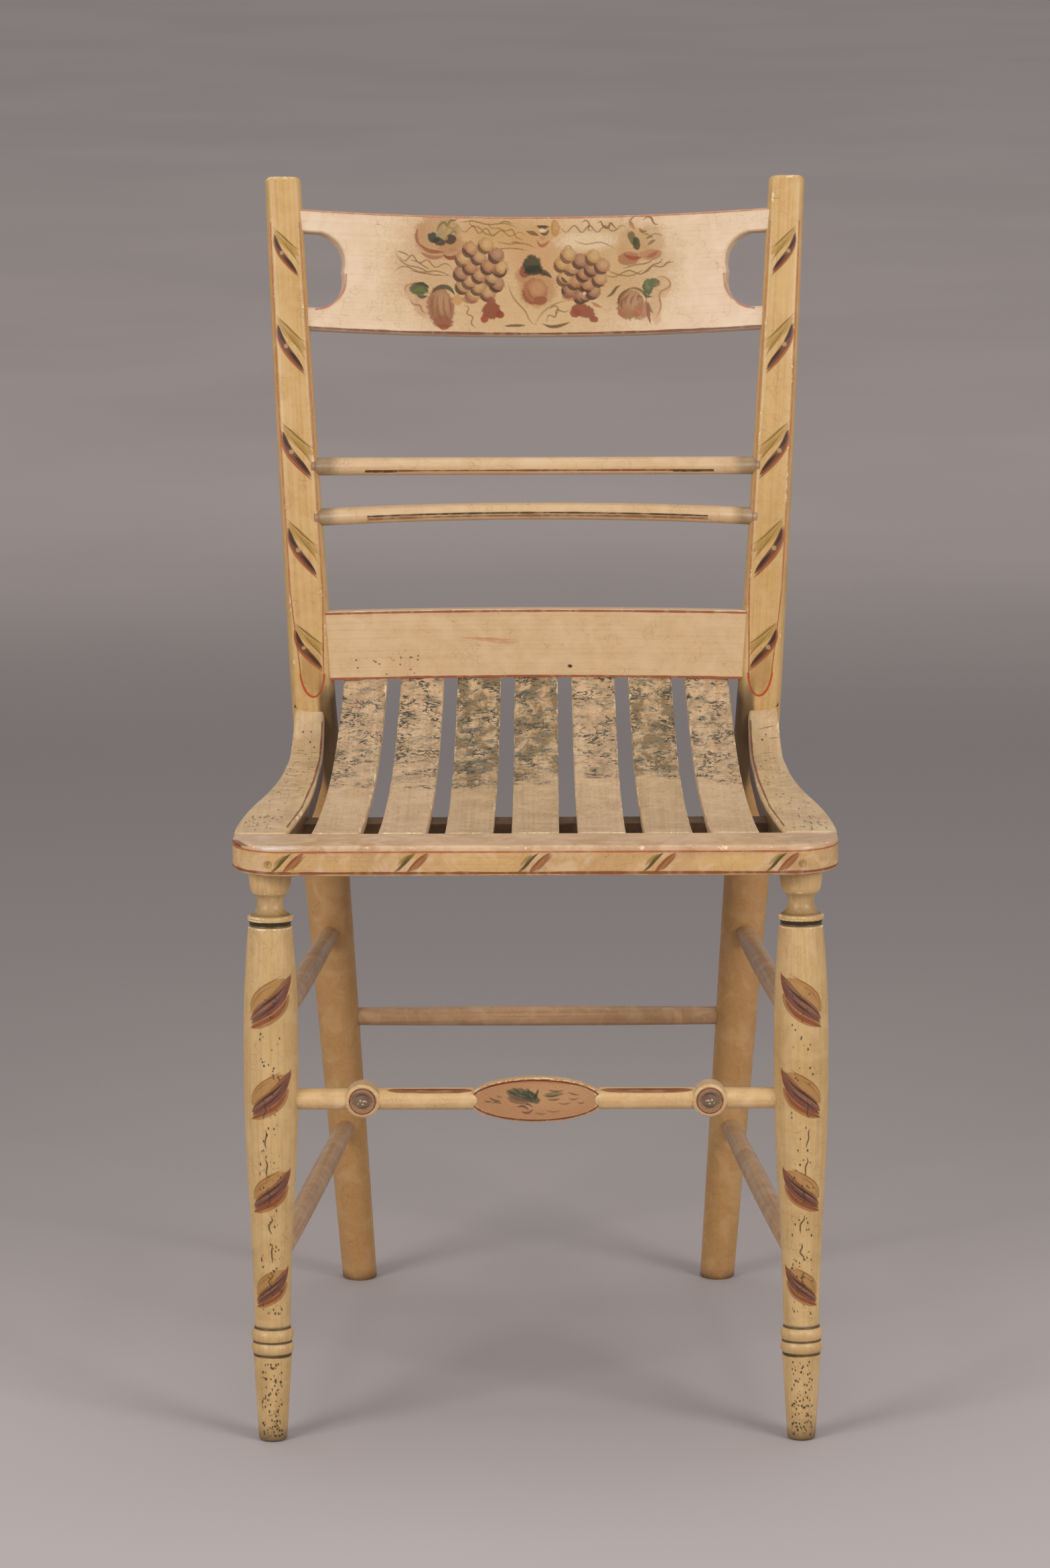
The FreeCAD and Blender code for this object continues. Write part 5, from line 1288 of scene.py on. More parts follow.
@dataclass
class RearPost:
    """A rear post: a round raked leg that flattens above the seat and bends back to its head.

    Its front face above the seat is an arc that starts upright at the lap.
    """

    foot: Pair = (141.5, 441.6)
    foot_width: float = 26.8
    knee: Pair = (162.3, 397.0)
    knee_height: float = 331.0
    knee_width: float = 34.8
    seat: Pair = (166.6, 389.0)
    seat_height: float = 405.0
    seat_width: float = 35.2
    lap_height: float = 480.0
    face: float = 371.0
    bend: float = 1130.0
    lap: Triple = (171.2, 34.0, 26.0)
    head: Triple = (192.8, 27.6, 17.0)
    top: float = 871.0
    corner: float = 3.6
    crown: float = 1.2
    cap_height: float = 3.8
    cap_inset: float = 3.4

    def __post_init__(self) -> None:
        """Lists the stations of the post: height, middle, lean, widths and how far its sides bulge."""
        self.head_tilt = math.asin((self.top - self.cap_height - self.lap_height) / self.bend)
        reach = self.head[2] / 2 - self.cap_inset
        self.head_height = self.top - self.cap_height * math.cos(self.head_tilt) - reach * math.sin(self.head_tilt)
        rake = -math.asin((self.foot[1] - self.knee[1]) / self.knee_height)
        bulge = (1 - math.sin(math.radians(45))) / 2
        rows = []
        for share in (0.0, 0.18, 0.39, 0.6, 0.8, 1.0):
            x, y, w = lerp((*self.foot, self.foot_width), (*self.knee, self.knee_width), share)
            rows.append((self.knee_height * share, x, y, rake, w, w, w * bulge, w * bulge))
        w = self.seat_width
        rows.append((self.seat_height, *self.seat, rake / 2, w, w, w * bulge, w * bulge))
        for share in (0.0, 0.17, 0.42, 0.57, 0.71, 0.86, 1.0):
            z = self.lap_height + (self.head_height - self.lap_height) * share
            x, width, thick = lerp(self.lap, self.head, share)
            lean = self.lean(z)
            rows.append((z, x, self.face_at(z) + thick / 2 * math.cos(lean), lean, width, thick, self.corner,
                         self.crown))
        self.stations = np.array(rows)

    def face_at(self, height: float) -> float:
        """Depth of the front face: the post's arc at a height."""
        return self.face + self.bend - math.sqrt(self.bend**2 - (height - self.lap_height) ** 2)

    def lean(self, height: float) -> float:
        """How far the post leans back at a height above the lap, in radians."""
        return math.asin((height - self.lap_height) / self.bend)

    def at(self, height: Array) -> Array:
        """Middle x, y, lean, width, thickness and the two bulges at heights, by splines through the stations."""
        return spline(self.stations[:, 0], self.stations[:, 1:], height)

    @staticmethod
    def _bow(half: Array, rise: Array, share: Array) -> tuple[Array, Array]:
        """Points of an arc over a chord: distance along the chord, and height over its ends."""
        radius = arc_radius(half, rise)
        turn = share * np.arcsin(np.clip(half / radius, -1, 1))
        return radius * np.sin(turn), radius * np.cos(turn) - (radius - rise)

    def rings(self, height: Array, inset: Array, lift: Array) -> Array:
        """Rings round the post: four arcs that meet at softened corners.

        Args:
            height: of each ring.
            inset: how far each is drawn in.
            lift: how far each is pushed along the post from its height.

        Returns:
            Ring by ring, point by point.
        """
        x, y, lean, width, thick, corner, crown = self.at(height).T
        side = (width / 2 - corner - inset * 0.5)[:, None]
        face = (thick / 2 - crown - inset * 0.8)[:, None]
        corner = (corner - 0.5 * inset)[:, None]
        crown = (crown - 0.2 * inset)[:, None]
        long_share = np.linspace(-1, 1, 20)[None, :-1]
        short_share = np.linspace(-1, 1, 16)[None, :-1]
        along, over = self._bow(side, crown, long_share)
        down, out = self._bow(face, corner, short_share)
        ring = np.stack([np.concatenate([along, side + out, -along, -side - out], 1),
                         np.concatenate([-face - over, down, face + over, -down], 1)], -1)
        flat = smoothstep(self.seat_height, self.lap_height, height)[:, None, None]
        bell = {-2: 0.12, -1: 0.22, 0: 0.32, 1: 0.22, 2: 0.12}
        soft = sum(weight * np.roll(ring, step, 1) for step, weight in bell.items())
        a, b = np.moveaxis(ring * (1 - flat) + soft * flat, -1, 0)
        sin, cos = np.sin(lean)[:, None], np.cos(lean)[:, None]
        up = lift[:, None]
        return np.stack([x[:, None] + a, y[:, None] + b * cos + up * sin,
                         height[:, None] - b * sin + up * cos], -1)

    def skin(self) -> Skin:
        """The closed surface of the right post."""
        foot = np.array([0.0, 0.4, 1.6])
        body = np.concatenate([np.linspace(6, 478, 90), np.linspace(484, self.head_height, 74)])
        cap = np.linspace(0.12, 1.0, 8) ** 0.8
        height = np.concatenate([foot, body, np.full(len(cap), self.head_height)])
        inset = np.concatenate([[1.6, 0.8, 0.0], np.zeros(len(body)), self.cap_inset * (1 - np.sqrt(1 - cap**2))])
        lift = np.concatenate([np.zeros(len(foot) + len(body)), self.cap_height * cap])
        rings = self.rings(height, inset, lift)
        rings[..., 2] = np.maximum(rings[..., 2], 0.0)
        points, faces = capped(rings)
        away = rings[:, :, :2] - self.at(height)[:, None, :2]
        flow = np.concatenate([(height + lift)[:, None, None] + 0 * away[..., :1], away], -1).reshape(-1, 3)
        flow = np.concatenate([flow, [[0, 0, 0], [self.top, 0, 0]]]) * MM
        count = rings.shape[1]
        step = (np.arange(count)[:, None] - (0, 19, 34, 53) + count // 2) % count - count // 2
        marks = np.exp(-step**2 / 2.0).max(1)
        flat = smoothstep(self.seat_height, self.lap_height, height)
        rub = np.maximum(flat[:, None] * marks[None, :] * 0.85, (lift > 0)[:, None] * 0.8)
        # painted shade: the post's inner side darkens about the seat's height, where it shows through the gap beside
        # the side rail; the foot darkens with dirt
        inner = smoothstep(-1.0, -7.0, away[..., 0]) * np.exp(-np.abs((height - 448.0) / 44.0) ** 3)[:, None]
        soil_and_shade = np.maximum(0.9 * np.exp(-height / 6.0)[:, None], inner)
        return Skin(points, faces, flow, np.concatenate([rub.reshape(-1), [0, 0.6]]),
                    np.concatenate([soil_and_shade.reshape(-1), [1, 0]]))

    def surface(self, across: Array, height: Array, lift: float) -> Array:
        """Points on the front face, by the distance from its middle and the height."""
        x, y, lean, width, thick, corner, crown = self.at(np.asarray(height, float).reshape(-1)).T
        across = np.asarray(across, float).reshape(-1)
        half = width / 2 - corner
        radius = arc_radius(half, crown)
        b = -thick / 2 + radius - np.sqrt(radius**2 - np.clip(across, -half, half) ** 2) - lift
        return np.stack([x + across, y + b * np.cos(lean), height.reshape(-1) - b * np.sin(lean)], 1)

    def build(self, bench: Bench) -> None:
        """Makes both posts with their leaves and red lining."""
        skin = self.skin()
        for side in Side:
            bench.piece(f"rear_post_{side.word}_shaped", skin.on(side), Finish.POST, "frame_paint",
                        f"rear_post_{side.word}")
            bench.piece(f"rear_post_{side.word}_leaves", self.decoration(side).on(side), Finish.STENCIL,
                        "frame_paint")

    def decoration(self, side: Side) -> Skin:
        """Five leaves up the stile and a red line round them, open towards the head."""
        canvas = Canvas((-13.0, 480.0), (13.0, 842.0))
        canvas.blot((-0.75, 498.0), (8.0, 17.0), "b98a48", strength=0.28, soft=0.5)
        places = ((518.0, 23.5, 37.0), (593.0, 24.0, 44.0), (666.0, 24.5, 42.0), (745.0, 22.5, 43.0),
                  (813.5, 20.0, 36.0))
        for index, (height, wide, high) in enumerate(places):
            size = (-wide, high) / STILE_LEAF_SIZE
            STILE_LEAF.paint(canvas, (-0.6, height), size, 7 * index + side.value + 40, 0.3)
        painted = film(canvas, self.surface)
        height = np.linspace(835, 500, 120)
        inner, outer = (np.stack([np.interp(height, (500, 560, 700, 860), reach), height], 1)
                        for reach in ((-9.5, -13.0, -13.2, -11.2), (8.0, 12.3, 12.4, 11.0)))
        turn = np.linspace(0, np.pi, 24)[1:-1]
        loop = np.stack([-0.75 - 9.3 * np.cos(turn), 500 - 20.5 * np.sin(turn)], 1)
        line = softened(np.concatenate([inner, loop, outer[::-1]]), 1.5)
        return painted.joined(lining(self.surface, line, 0.9, "b85c34", seed=4 + side.value, strength=0.6),
                              lining(self.surface, loop, 1.2, "c04a26", lift=0.16, seed=8, strength=0.9))


@dataclass
class Bow:
    """A board or bar bowed back in plan and leaned, as the back's rails are.

    Its front face is an arc of a circle over a chord, and a depth t lies t further from the circle's middle.
    """

    height: float
    depth: float
    chord: float
    bow: float
    lean: float

    @property
    def radius(self) -> float:
        """The front face's radius."""
        return arc_radius(self.chord, self.bow)

    def bend(self, x: Array, up: Array, t: Array) -> Array:
        """Points of the bowed board, from the distance across, the height up it and the depth into it."""
        turn = np.arcsin(x / self.radius)
        back = (self.radius + t) * np.cos(turn) - self.radius + self.bow
        cos, sin = math.cos(self.lean), math.sin(self.lean)
        return np.stack([(self.radius + t) * np.sin(turn), self.depth + back * cos + up * sin,
                         self.height - back * sin + up * cos], -1)

    def surface(self, x: Array, up: Array, lift: float) -> Array:
        """Points on the front face, lifted off it."""
        return self.bend(x, up, np.zeros_like(x) - lift)


@dataclass
class ChairBack:
    """The crest rail with its hand holds, two bowed spindles, and the lower rail."""

    post: RearPost
    crest_height: float = 92.4
    crest_thick: float = 12.0
    crest_half: float = 183.0
    crest_drop: float = 113.4
    notch_top: float = 75.0
    notch_bottom: float = 17.0
    rail_height: float = 53.0
    rail_thick: float = 14.0
    rail_half: float = 168.0

    def __post_init__(self) -> None:
        """Bows the rails to the posts."""
        base = self.post.top - self.crest_drop
        self.crest = Bow(base, self.post.face_at(base) + 6.4, 170.0, 31.4,
                         self.post.lean(base + self.crest_height / 2))
        self.rail = Bow(491.5, 374.0, 157.0, 15.0, math.radians(2.5))

    def crest_outline(self) -> Array:
        """The crest's outline, with a notch of two lobes at each end."""
        half, high = self.crest_half, self.crest_height
        reach, lobe, cusp, inset = 163.0, 147.2, 146.4, 12.6
        middle = (self.notch_top + self.notch_bottom) / 2
        right = [(half, 0.0), (half, self.notch_bottom), (reach, self.notch_bottom),
                 Via((lobe, self.notch_bottom + inset)), (cusp, middle), Via((lobe, self.notch_top - inset)),
                 (reach, self.notch_top), (half, self.notch_top), (half, high)]
        left = [type(p)((-p[0], p[1])) for p in reversed(right)]
        return trace(right + left, 2.2, closed=True)

    def build(self, bench: Bench) -> None:
        """Makes the back's pieces."""
        crest = Board(self.crest_outline(), self.crest_thick, self.crest.bend, 1.8, 1.8, 4.0).skin()
        bench.piece("crest_rail_board", crest, Finish.CREST, "back_paint", "crest_rail")
        bench.piece("crest_rail_fruit", self.fruit(), Finish.STENCIL, "back_paint")
        outline = oblong(self.rail_half, 0, self.rail_height, 3.0)
        rail = Board(outline, self.rail_thick, self.rail.bend, 1.6, 1.6).skin()
        bench.piece("lower_back_rail_board", rail, Finish.BACK, "back_paint", "lower_back_rail")
        canvas = Canvas((-140.0, 2.0), (32.0, 48.0), 0.6)
        for x, up, long in ((-44.0, 31.0, 16.0), (-38.0, 29.5, 9.0), (-30.0, 30.4, 14.0), (-22.0, 28.6, 9.0),
                            (-26.0, 27.6, 12.0)):
            canvas.stroke([(x - long, up + 0.7), (x, up - 0.4), (x + long, up - 0.8)], 1.6, "cc7444", strength=0.22,
                          seed=int(long))
        canvas.blot((26.0, 9.0), (1.6, 1.2), "33241a")
        for x, up in np.random.default_rng(9).uniform((-138, 3), (-90, 18), (16, 2)):
            canvas.blot((x, up), (0.7, 0.5), "5a4628", strength=0.7)
        edges = [lining(self.rail.surface, level(-166.0, 166.0, up, 160), 1.5, "a5502f", seed=int(up), strength=0.75)
                 for up in (1.3, 51.7)]
        bench.piece("lower_back_rail_lines", film(canvas, self.rail.surface).joined(*edges), Finish.STENCIL,
                    "back_paint")
        self.build_spindles(bench)

    def fruit(self) -> Skin:
        """The crest's fruit, leaves, grapes and vines, a red line near its top edge, and a dark line of painted shade
        along its lower edge.
        """
        canvas = Canvas((-122.0, 1.5), (122.0, 90.9), 0.52)
        unit_size = (0.5, 0.5)
        for motif in (WASHES, TENDRILS, LEFT_FRUIT, bunch(LEFT_GRAPES, 4), MIDDLE_FRUIT, bunch(RIGHT_GRAPES, 6),
                      RIGHT_FRUIT):
            motif.paint(canvas, (0.0, 0.0), unit_size, 3)
        surface = self.crest.surface
        # a red line under the top edge, and along the lower edge a dark line that is painted shade on its rounded
        # edge
        lines = [lining(surface, level(-181.0, 181.0, up, 160), width, colour, seed=seed, strength=strength)
                 for up, width, colour, seed, strength in ((self.crest_height - 1.0, 1.3, "c4794c", 3, 0.7),
                                                           (1.1, 1.7, "7c442a", 5, 0.85))]
        notch = trace([(168.0, self.notch_bottom - 1.6), Via((150.0, 25.6)), (144.9, 44.0)], 1.5)
        for sign in (-1, 1):
            lines.append(lining(surface, notch * (sign, 1), 1.3, "b5604c", seed=7, strength=0.7))
        return film(canvas, surface).joined(*lines)

    def build_spindles(self, bench: Bench) -> None:
        """Makes the two bowed bars."""
        upper = ((-131.0, 137.0, 2.6, 1.3, "8f4a2c", 0.75), (-131.0, -106.0, 3.2, 1.6, "3f3a1c", 0.85),
                 (105.0, 137.0, 3.2, 1.6, "3f3a1c", 0.85))
        lower = ((-130.0, 133.0, 0.4, 1.2, "3c3820", 0.8), (-130.0, 133.0, 2.6, 1.9, "a0603c", 0.55))
        for name, height, width, chord, bow, lean, rows in (
                ("back_spindle_upper", 654.2, 13.6, 164.0, 28.0, 8.2, upper),
                ("back_spindle_lower", 616.0, 13.3, 162.0, 30.0, 0.5, lower)):
            curve = Bow(height, self.post.face_at(height) + 9.6, chord, bow, math.radians(lean))
            across = np.linspace(-1, 1, 121) * (chord + 9.0)
            line = curve.bend(across, np.zeros(121), np.zeros(121))
            bar = Turning(line, np.full(121, width / 2), around=40)
            skin = bar.skin()
            skin.soil_and_shade = np.maximum(skin.soil_and_shade, 0.5 * smoothstep(142.0, 160.0, np.abs(skin.points[:, 0])))
            bench.piece(f"{name}_bar", skin, Finish.BACK, "back_paint", name)
            stripes = [self.stripe(bar, *row) for row in rows]
            bench.piece(f"{name}_lines", stripes[0].joined(*stripes[1:]), Finish.STENCIL, "back_paint")

    @staticmethod
    def stripe(bar: Turning, first: float, last: float, low: float, width: float, colour: str,
               strength: float) -> Skin:
        """A painted line along a bar, between two x, that far round below the middle of its front."""
        middle = bar.run[-1] / 2
        run = middle + np.linspace(first, last, 120) * 1.02
        return lining(bar.surface, np.stack([run, np.full(120, low)], 1), width, colour, seed=int(low * 9 + 40),
                      strength=strength)


@dataclass
class Seat:
    """The front rail, side rails, seven swept slats and the batten under them."""

    rail_depth: float = 60.0
    rail_thick: float = 22.0
    half_width: float = 216.0
    corner: float = 36.0
    ledge: float = 13.0
    slat_thick: float = 9.0
    slat_pitch: float = 47.8
    slat_rear_pitch: float = 43.4
    slat_width: float = 34.0
    slat_rear_width: float = 33.0
    side_thick: float = 20.0
    sweep_start: float = 318.0
    sweep_radius: float = 64.16
    edge: float = 3.5

    @property
    def slat_front(self) -> float:
        """Where the slats begin."""
        return self.rail_depth - self.ledge

    def build(self, bench: Bench) -> None:
        """Makes the seat's pieces."""
        self.build_front_rail(bench)
        self.build_side_rails(bench)
        for number in range(-3, 4):
            self.build_slat(bench, number)
        batten = Board(oblong(178.0, 136.0, 160.0, 4.0), 8.6, lying(428.5), 0.8, 0.8, 6.0).skin()
        bench.piece("seat_batten_board", batten, Finish.UNDERSIDE, "bare_wood", "seat_batten")

    def front_plan(self) -> Array:
        """The front rail's plan: two rounded front corners."""
        half, corner = self.half_width, self.corner
        bulge = corner * (1 - math.sin(math.radians(45)))
        return trace([(corner - half, 0.0), (half - corner, 0.0), Via((half - bulge, bulge)), (half, corner),
                      (half, self.slat_front - 0.2), (-half, self.slat_front - 0.2), (-half, corner),
                      Via((bulge - half, bulge))], 2.4, closed=True)

    def build_front_rail(self, bench: Bench) -> None:
        """Makes the front rail and the ledge behind it that carries the slats."""
        rail = Board(self.front_plan(), self.rail_thick, lying(SEAT_TOP), self.edge, 2.0).skin()
        back = rail.flow[:, 1] > (self.slat_front - 6) * MM
        under = rail.flow[:, 2] > 0.4 * self.rail_thick * MM
        rail.rub = np.where(back | under, rail.rub * 0.2, rail.rub)
        ledge = Board(oblong(self.half_width, self.slat_front - 0.4, self.rail_depth, 5.0),
                      self.rail_thick - self.slat_thick - 0.2, lying(SEAT_TOP - self.slat_thick - 0.1), 0.5, 0.8,
                      8.0).skin()
        bench.piece("front_rail_board", rail.joined(ledge), Finish.RAIL, "seat_paint", "front_rail")
        canvas = Canvas((-190.0, 420.6), (190.0, 435.4))
        for index, x in enumerate((-175.0, -87.0, 0.0, 88.5, 175.5)):
            RAIL_PAIR.paint(canvas, (x, 428.0), (0.108, 0.112), index, 0.3)
        # red-brown wear at the left corner of the nosing, and pale strokes further along it that are a painted
        # highlight on the rounded edge
        worn = Canvas((-240.0, 436.2), (-150.0, 439.4))
        for first, last, height, colour, strength in (
                (-238, -214, 437.4, "8c4c30", 0.85), (-232, -206, 438.6, "96583a", 0.7),
                (-224, -212, 437.0, "5e3420", 0.6), (-204, -164, 438.4, "ecd9c6", 0.7),
                (-196, -176, 437.4, "f0dfce", 0.6)):
            worn.stroke([(first, height), ((first + last) / 2, height + 0.3), (last, height - 0.2)], 2.0, colour,
                        strength=strength, seed=-first)
        lines = [film(worn, self.rail_face)]
        lines += [lining(self.rail_face, level(-234, 234, height, 220), width, colour, seed=seed, strength=0.68)
                  for height, width, colour, seed in ((435.7, 1.1, "c0643a", 1), (420.5, 1.8, "8a4626", 2))]
        bench.piece("front_rail_leaves", film(canvas, self.rail_face).joined(*lines), Finish.STENCIL, "seat_paint")

    def rail_face(self, x: Array, height: Array, lift: float) -> Array:
        """Points on the front rail's upright face, by the distance along it from its middle.

        Past the straight part the distance turns by distance / corner round the corner's circle. At the rounded upper
        edge the face draws back by edge - sqrt(edge^2 - rise^2).
        """
        straight = self.half_width - self.corner
        turn = np.clip(np.abs(x) - straight, 0, None) / self.corner
        rise = np.clip(height - SEAT_TOP + self.edge, 0, self.edge)
        reach = self.corner + lift - self.edge + np.sqrt(self.edge**2 - rise**2)
        return np.stack([np.sign(x) * (np.minimum(np.abs(x), straight) + reach * np.sin(turn)),
                         self.corner - reach * np.cos(turn), height], -1)

    def side_bend(self, x: Array, y: Array, t: Array) -> Array:
        """Points of a side rail: level, then swept up along an arc."""
        sin = np.clip((y - self.sweep_start) / self.sweep_radius, 0, 0.95)
        cos = np.sqrt(1 - sin**2)
        radius = self.sweep_radius + t
        swept = y > self.sweep_start
        return np.stack([x, np.where(swept, self.sweep_start + radius * sin, y),
                         np.where(swept, SEAT_TOP + self.sweep_radius - radius * cos, SEAT_TOP - t)], -1)

    @staticmethod
    def inner_edge(depth: Array) -> Array:
        """The right side rail's inner edge at distances from the seat's front."""
        return np.interp(depth, [60, 140, 240, 375], [177.5, 168.8, 164.0, 162.0])

    def build_side_rails(self, bench: Bench) -> None:
        """Makes both side rails."""
        front, tip = self.slat_front + 0.2, 375.0
        plan = trace([(177.5, front), (self.half_width, front), (self.half_width, 60.0), Via((212.6, 106.0)),
                      (203.5, 170.0), Via((195.2, 224.0)), (189.4, 300.0), (185.2, tip), (162.0, tip),
                      (164.0, 240.0), Via((168.8, 140.0)), (177.5, 60.0)], 3.0, closed=True)
        plan = np.concatenate([plan[:8], softened(plan, 1.5)[8:]])
        skin = Board(plan, self.side_thick, self.side_bend, 2.6, 2.0, 5.0, lengthwise=True).skin()
        depth = np.linspace(66.0, 366.0, 150)

        def top(x: Array, y: Array, lift: float) -> Array:
            """Points on the right rail's top."""
            return self.side_bend(x, y, np.full_like(x, -lift))

        inset = self.inner_edge(depth) + 1.8
        edge = lining(top, np.stack([inset, depth], 1), 1.3, "84452c", seed=12, strength=0.7)
        joint = np.stack([np.linspace(162.5, 185.5, 40), 373.4 + 0.5 * np.cos(np.linspace(0, 5, 40))], 1)
        edge = edge.joined(lining(top, joint, 1.1, "3a2414", seed=14, strength=0.85))
        # painted shade: the inner wall below the rail's rounded top goes to the grime colour, for the shade in the
        # gap beside the slats
        wall = (skin.flow[:, 2] > 2.6 * MM) & (skin.points[:, 0] < self.inner_edge(skin.points[:, 1]) + 1.6)
        skin.soil_and_shade = np.where(wall, 1.0, skin.soil_and_shade)
        for side in Side:
            wear = film(self.side_wear(side), top)
            bench.piece(f"side_rail_{side.word}_board", skin.on(side), Finish.SIDE, "seat_paint",
                        f"side_rail_{side.word}")
            bench.piece(f"side_rail_{side.word}_line", edge.joined(wear).on(side), Finish.STENCIL, "seat_paint")

    @staticmethod
    def side_wear(side: Side) -> Canvas:
        """Flecks, short brown scratches and rubbed patches on the top of a side rail."""
        canvas = Canvas((164.0, 50.0), (214.0, 366.0))
        dice = np.random.default_rng(50 + side.value)
        for index, (share, along, size) in enumerate(dice.uniform((0.12, 56.0, 0.7), (0.88, 360.0, 1.7), (90, 3))):
            low = np.interp(along, [60, 140, 240, 375], [179.0, 170.0, 166.0, 164.0])
            high = np.interp(along, [60, 170, 224, 375], [214.0, 201.0, 193.0, 183.0])
            x = low + (high - low) * share
            if index % 3:
                canvas.blot((x, along), (0.5 * size, 0.8 * size), "4a3624", strength=0.75, seed=index)
            else:
                canvas.stroke([(x - 4 * size, along), (x + 4 * size, along + 3 * size - 2)], 0.8, "6b4c30",
                              strength=0.5, seed=index)
        for index, (x, along, reach) in enumerate(dice.uniform((190.0, 52.0, 3.0), (210.0, 104.0, 9.0), (18, 3))):
            canvas.stroke([(x, along), (x - 0.1 * reach, along + reach)], 1.2, "74442e", strength=0.55, seed=index)
        return canvas

    def slat_reach(self, number: int) -> float:
        """How far back the slat meets the lower rail, which is bowed over its chord as a parabola nearly is."""
        middle, bow, chord = 389.0, 15.0, 157.0
        return middle - bow * (number * self.slat_rear_pitch / chord) ** 2

    def slat_path(self, number: int) -> Array:
        """The slat's top, from the front: a shallow dip, then a sweep up to the lower rail."""
        reach = self.slat_reach(number)
        top = 490.9
        return trace([(self.slat_front + 0.2, SEAT_TOP), Via((126.0, SEAT_TOP - 2.8)), (205.0, SEAT_TOP),
                      Via(((205.0 + reach) / 2, (SEAT_TOP + top) / 2 - 9.6)), (reach, top),
                      (reach + 13.6, top + 6.8)], 1.0)

    def build_slat(self, bench: Bench, number: int) -> None:
        """Makes one slat, counted from the middle."""
        path = softened(self.slat_path(number), 4.0)
        run = distances(path)
        way = unit(np.gradient(path, axis=0))

        def bend(x: Array, s: Array, t: Array) -> Array:
            """Points of the slat: its depth is square to its path."""
            y, z, dy, dz = np.moveaxis(read(s, run, np.hstack([path, way])), -1, 0)
            return np.stack([x, y + t * dz, z - t * dy], -1)

        share = np.linspace(0, 1, 120)
        depth = np.interp(share * run[-1], run, path[:, 0])
        part = (depth - self.slat_front) / (self.slat_reach(number) + 14 - self.slat_front)
        middle = number * (self.slat_pitch + (self.slat_rear_pitch - self.slat_pitch) * part)
        half = (self.slat_width + (self.slat_rear_width - self.slat_width) * part) / 2
        right = np.stack([middle + half, share * run[-1]], 1)
        left = np.stack([middle - half, share * run[-1]], 1)
        front = np.stack([np.linspace(left[0, 0], right[0, 0], 13)[1:-1], np.zeros(11)], 1)
        back = np.stack([np.linspace(right[-1, 0], left[-1, 0], 13)[1:-1], np.full(11, run[-1])], 1)
        outline = np.concatenate([left[:1], front, right, back, left[:0:-1]])
        skin = Board(outline, self.slat_thick, bend, 1.5, 0.8, 4.5, lengthwise=True).skin()
        name = f"seat_slat_{number + 4}"
        finish = Finish.SHADED_SEAT if number in (-1, 0, 2) else Finish.SEAT
        bench.piece(f"{name}_board", skin, finish, "seat_paint", name)


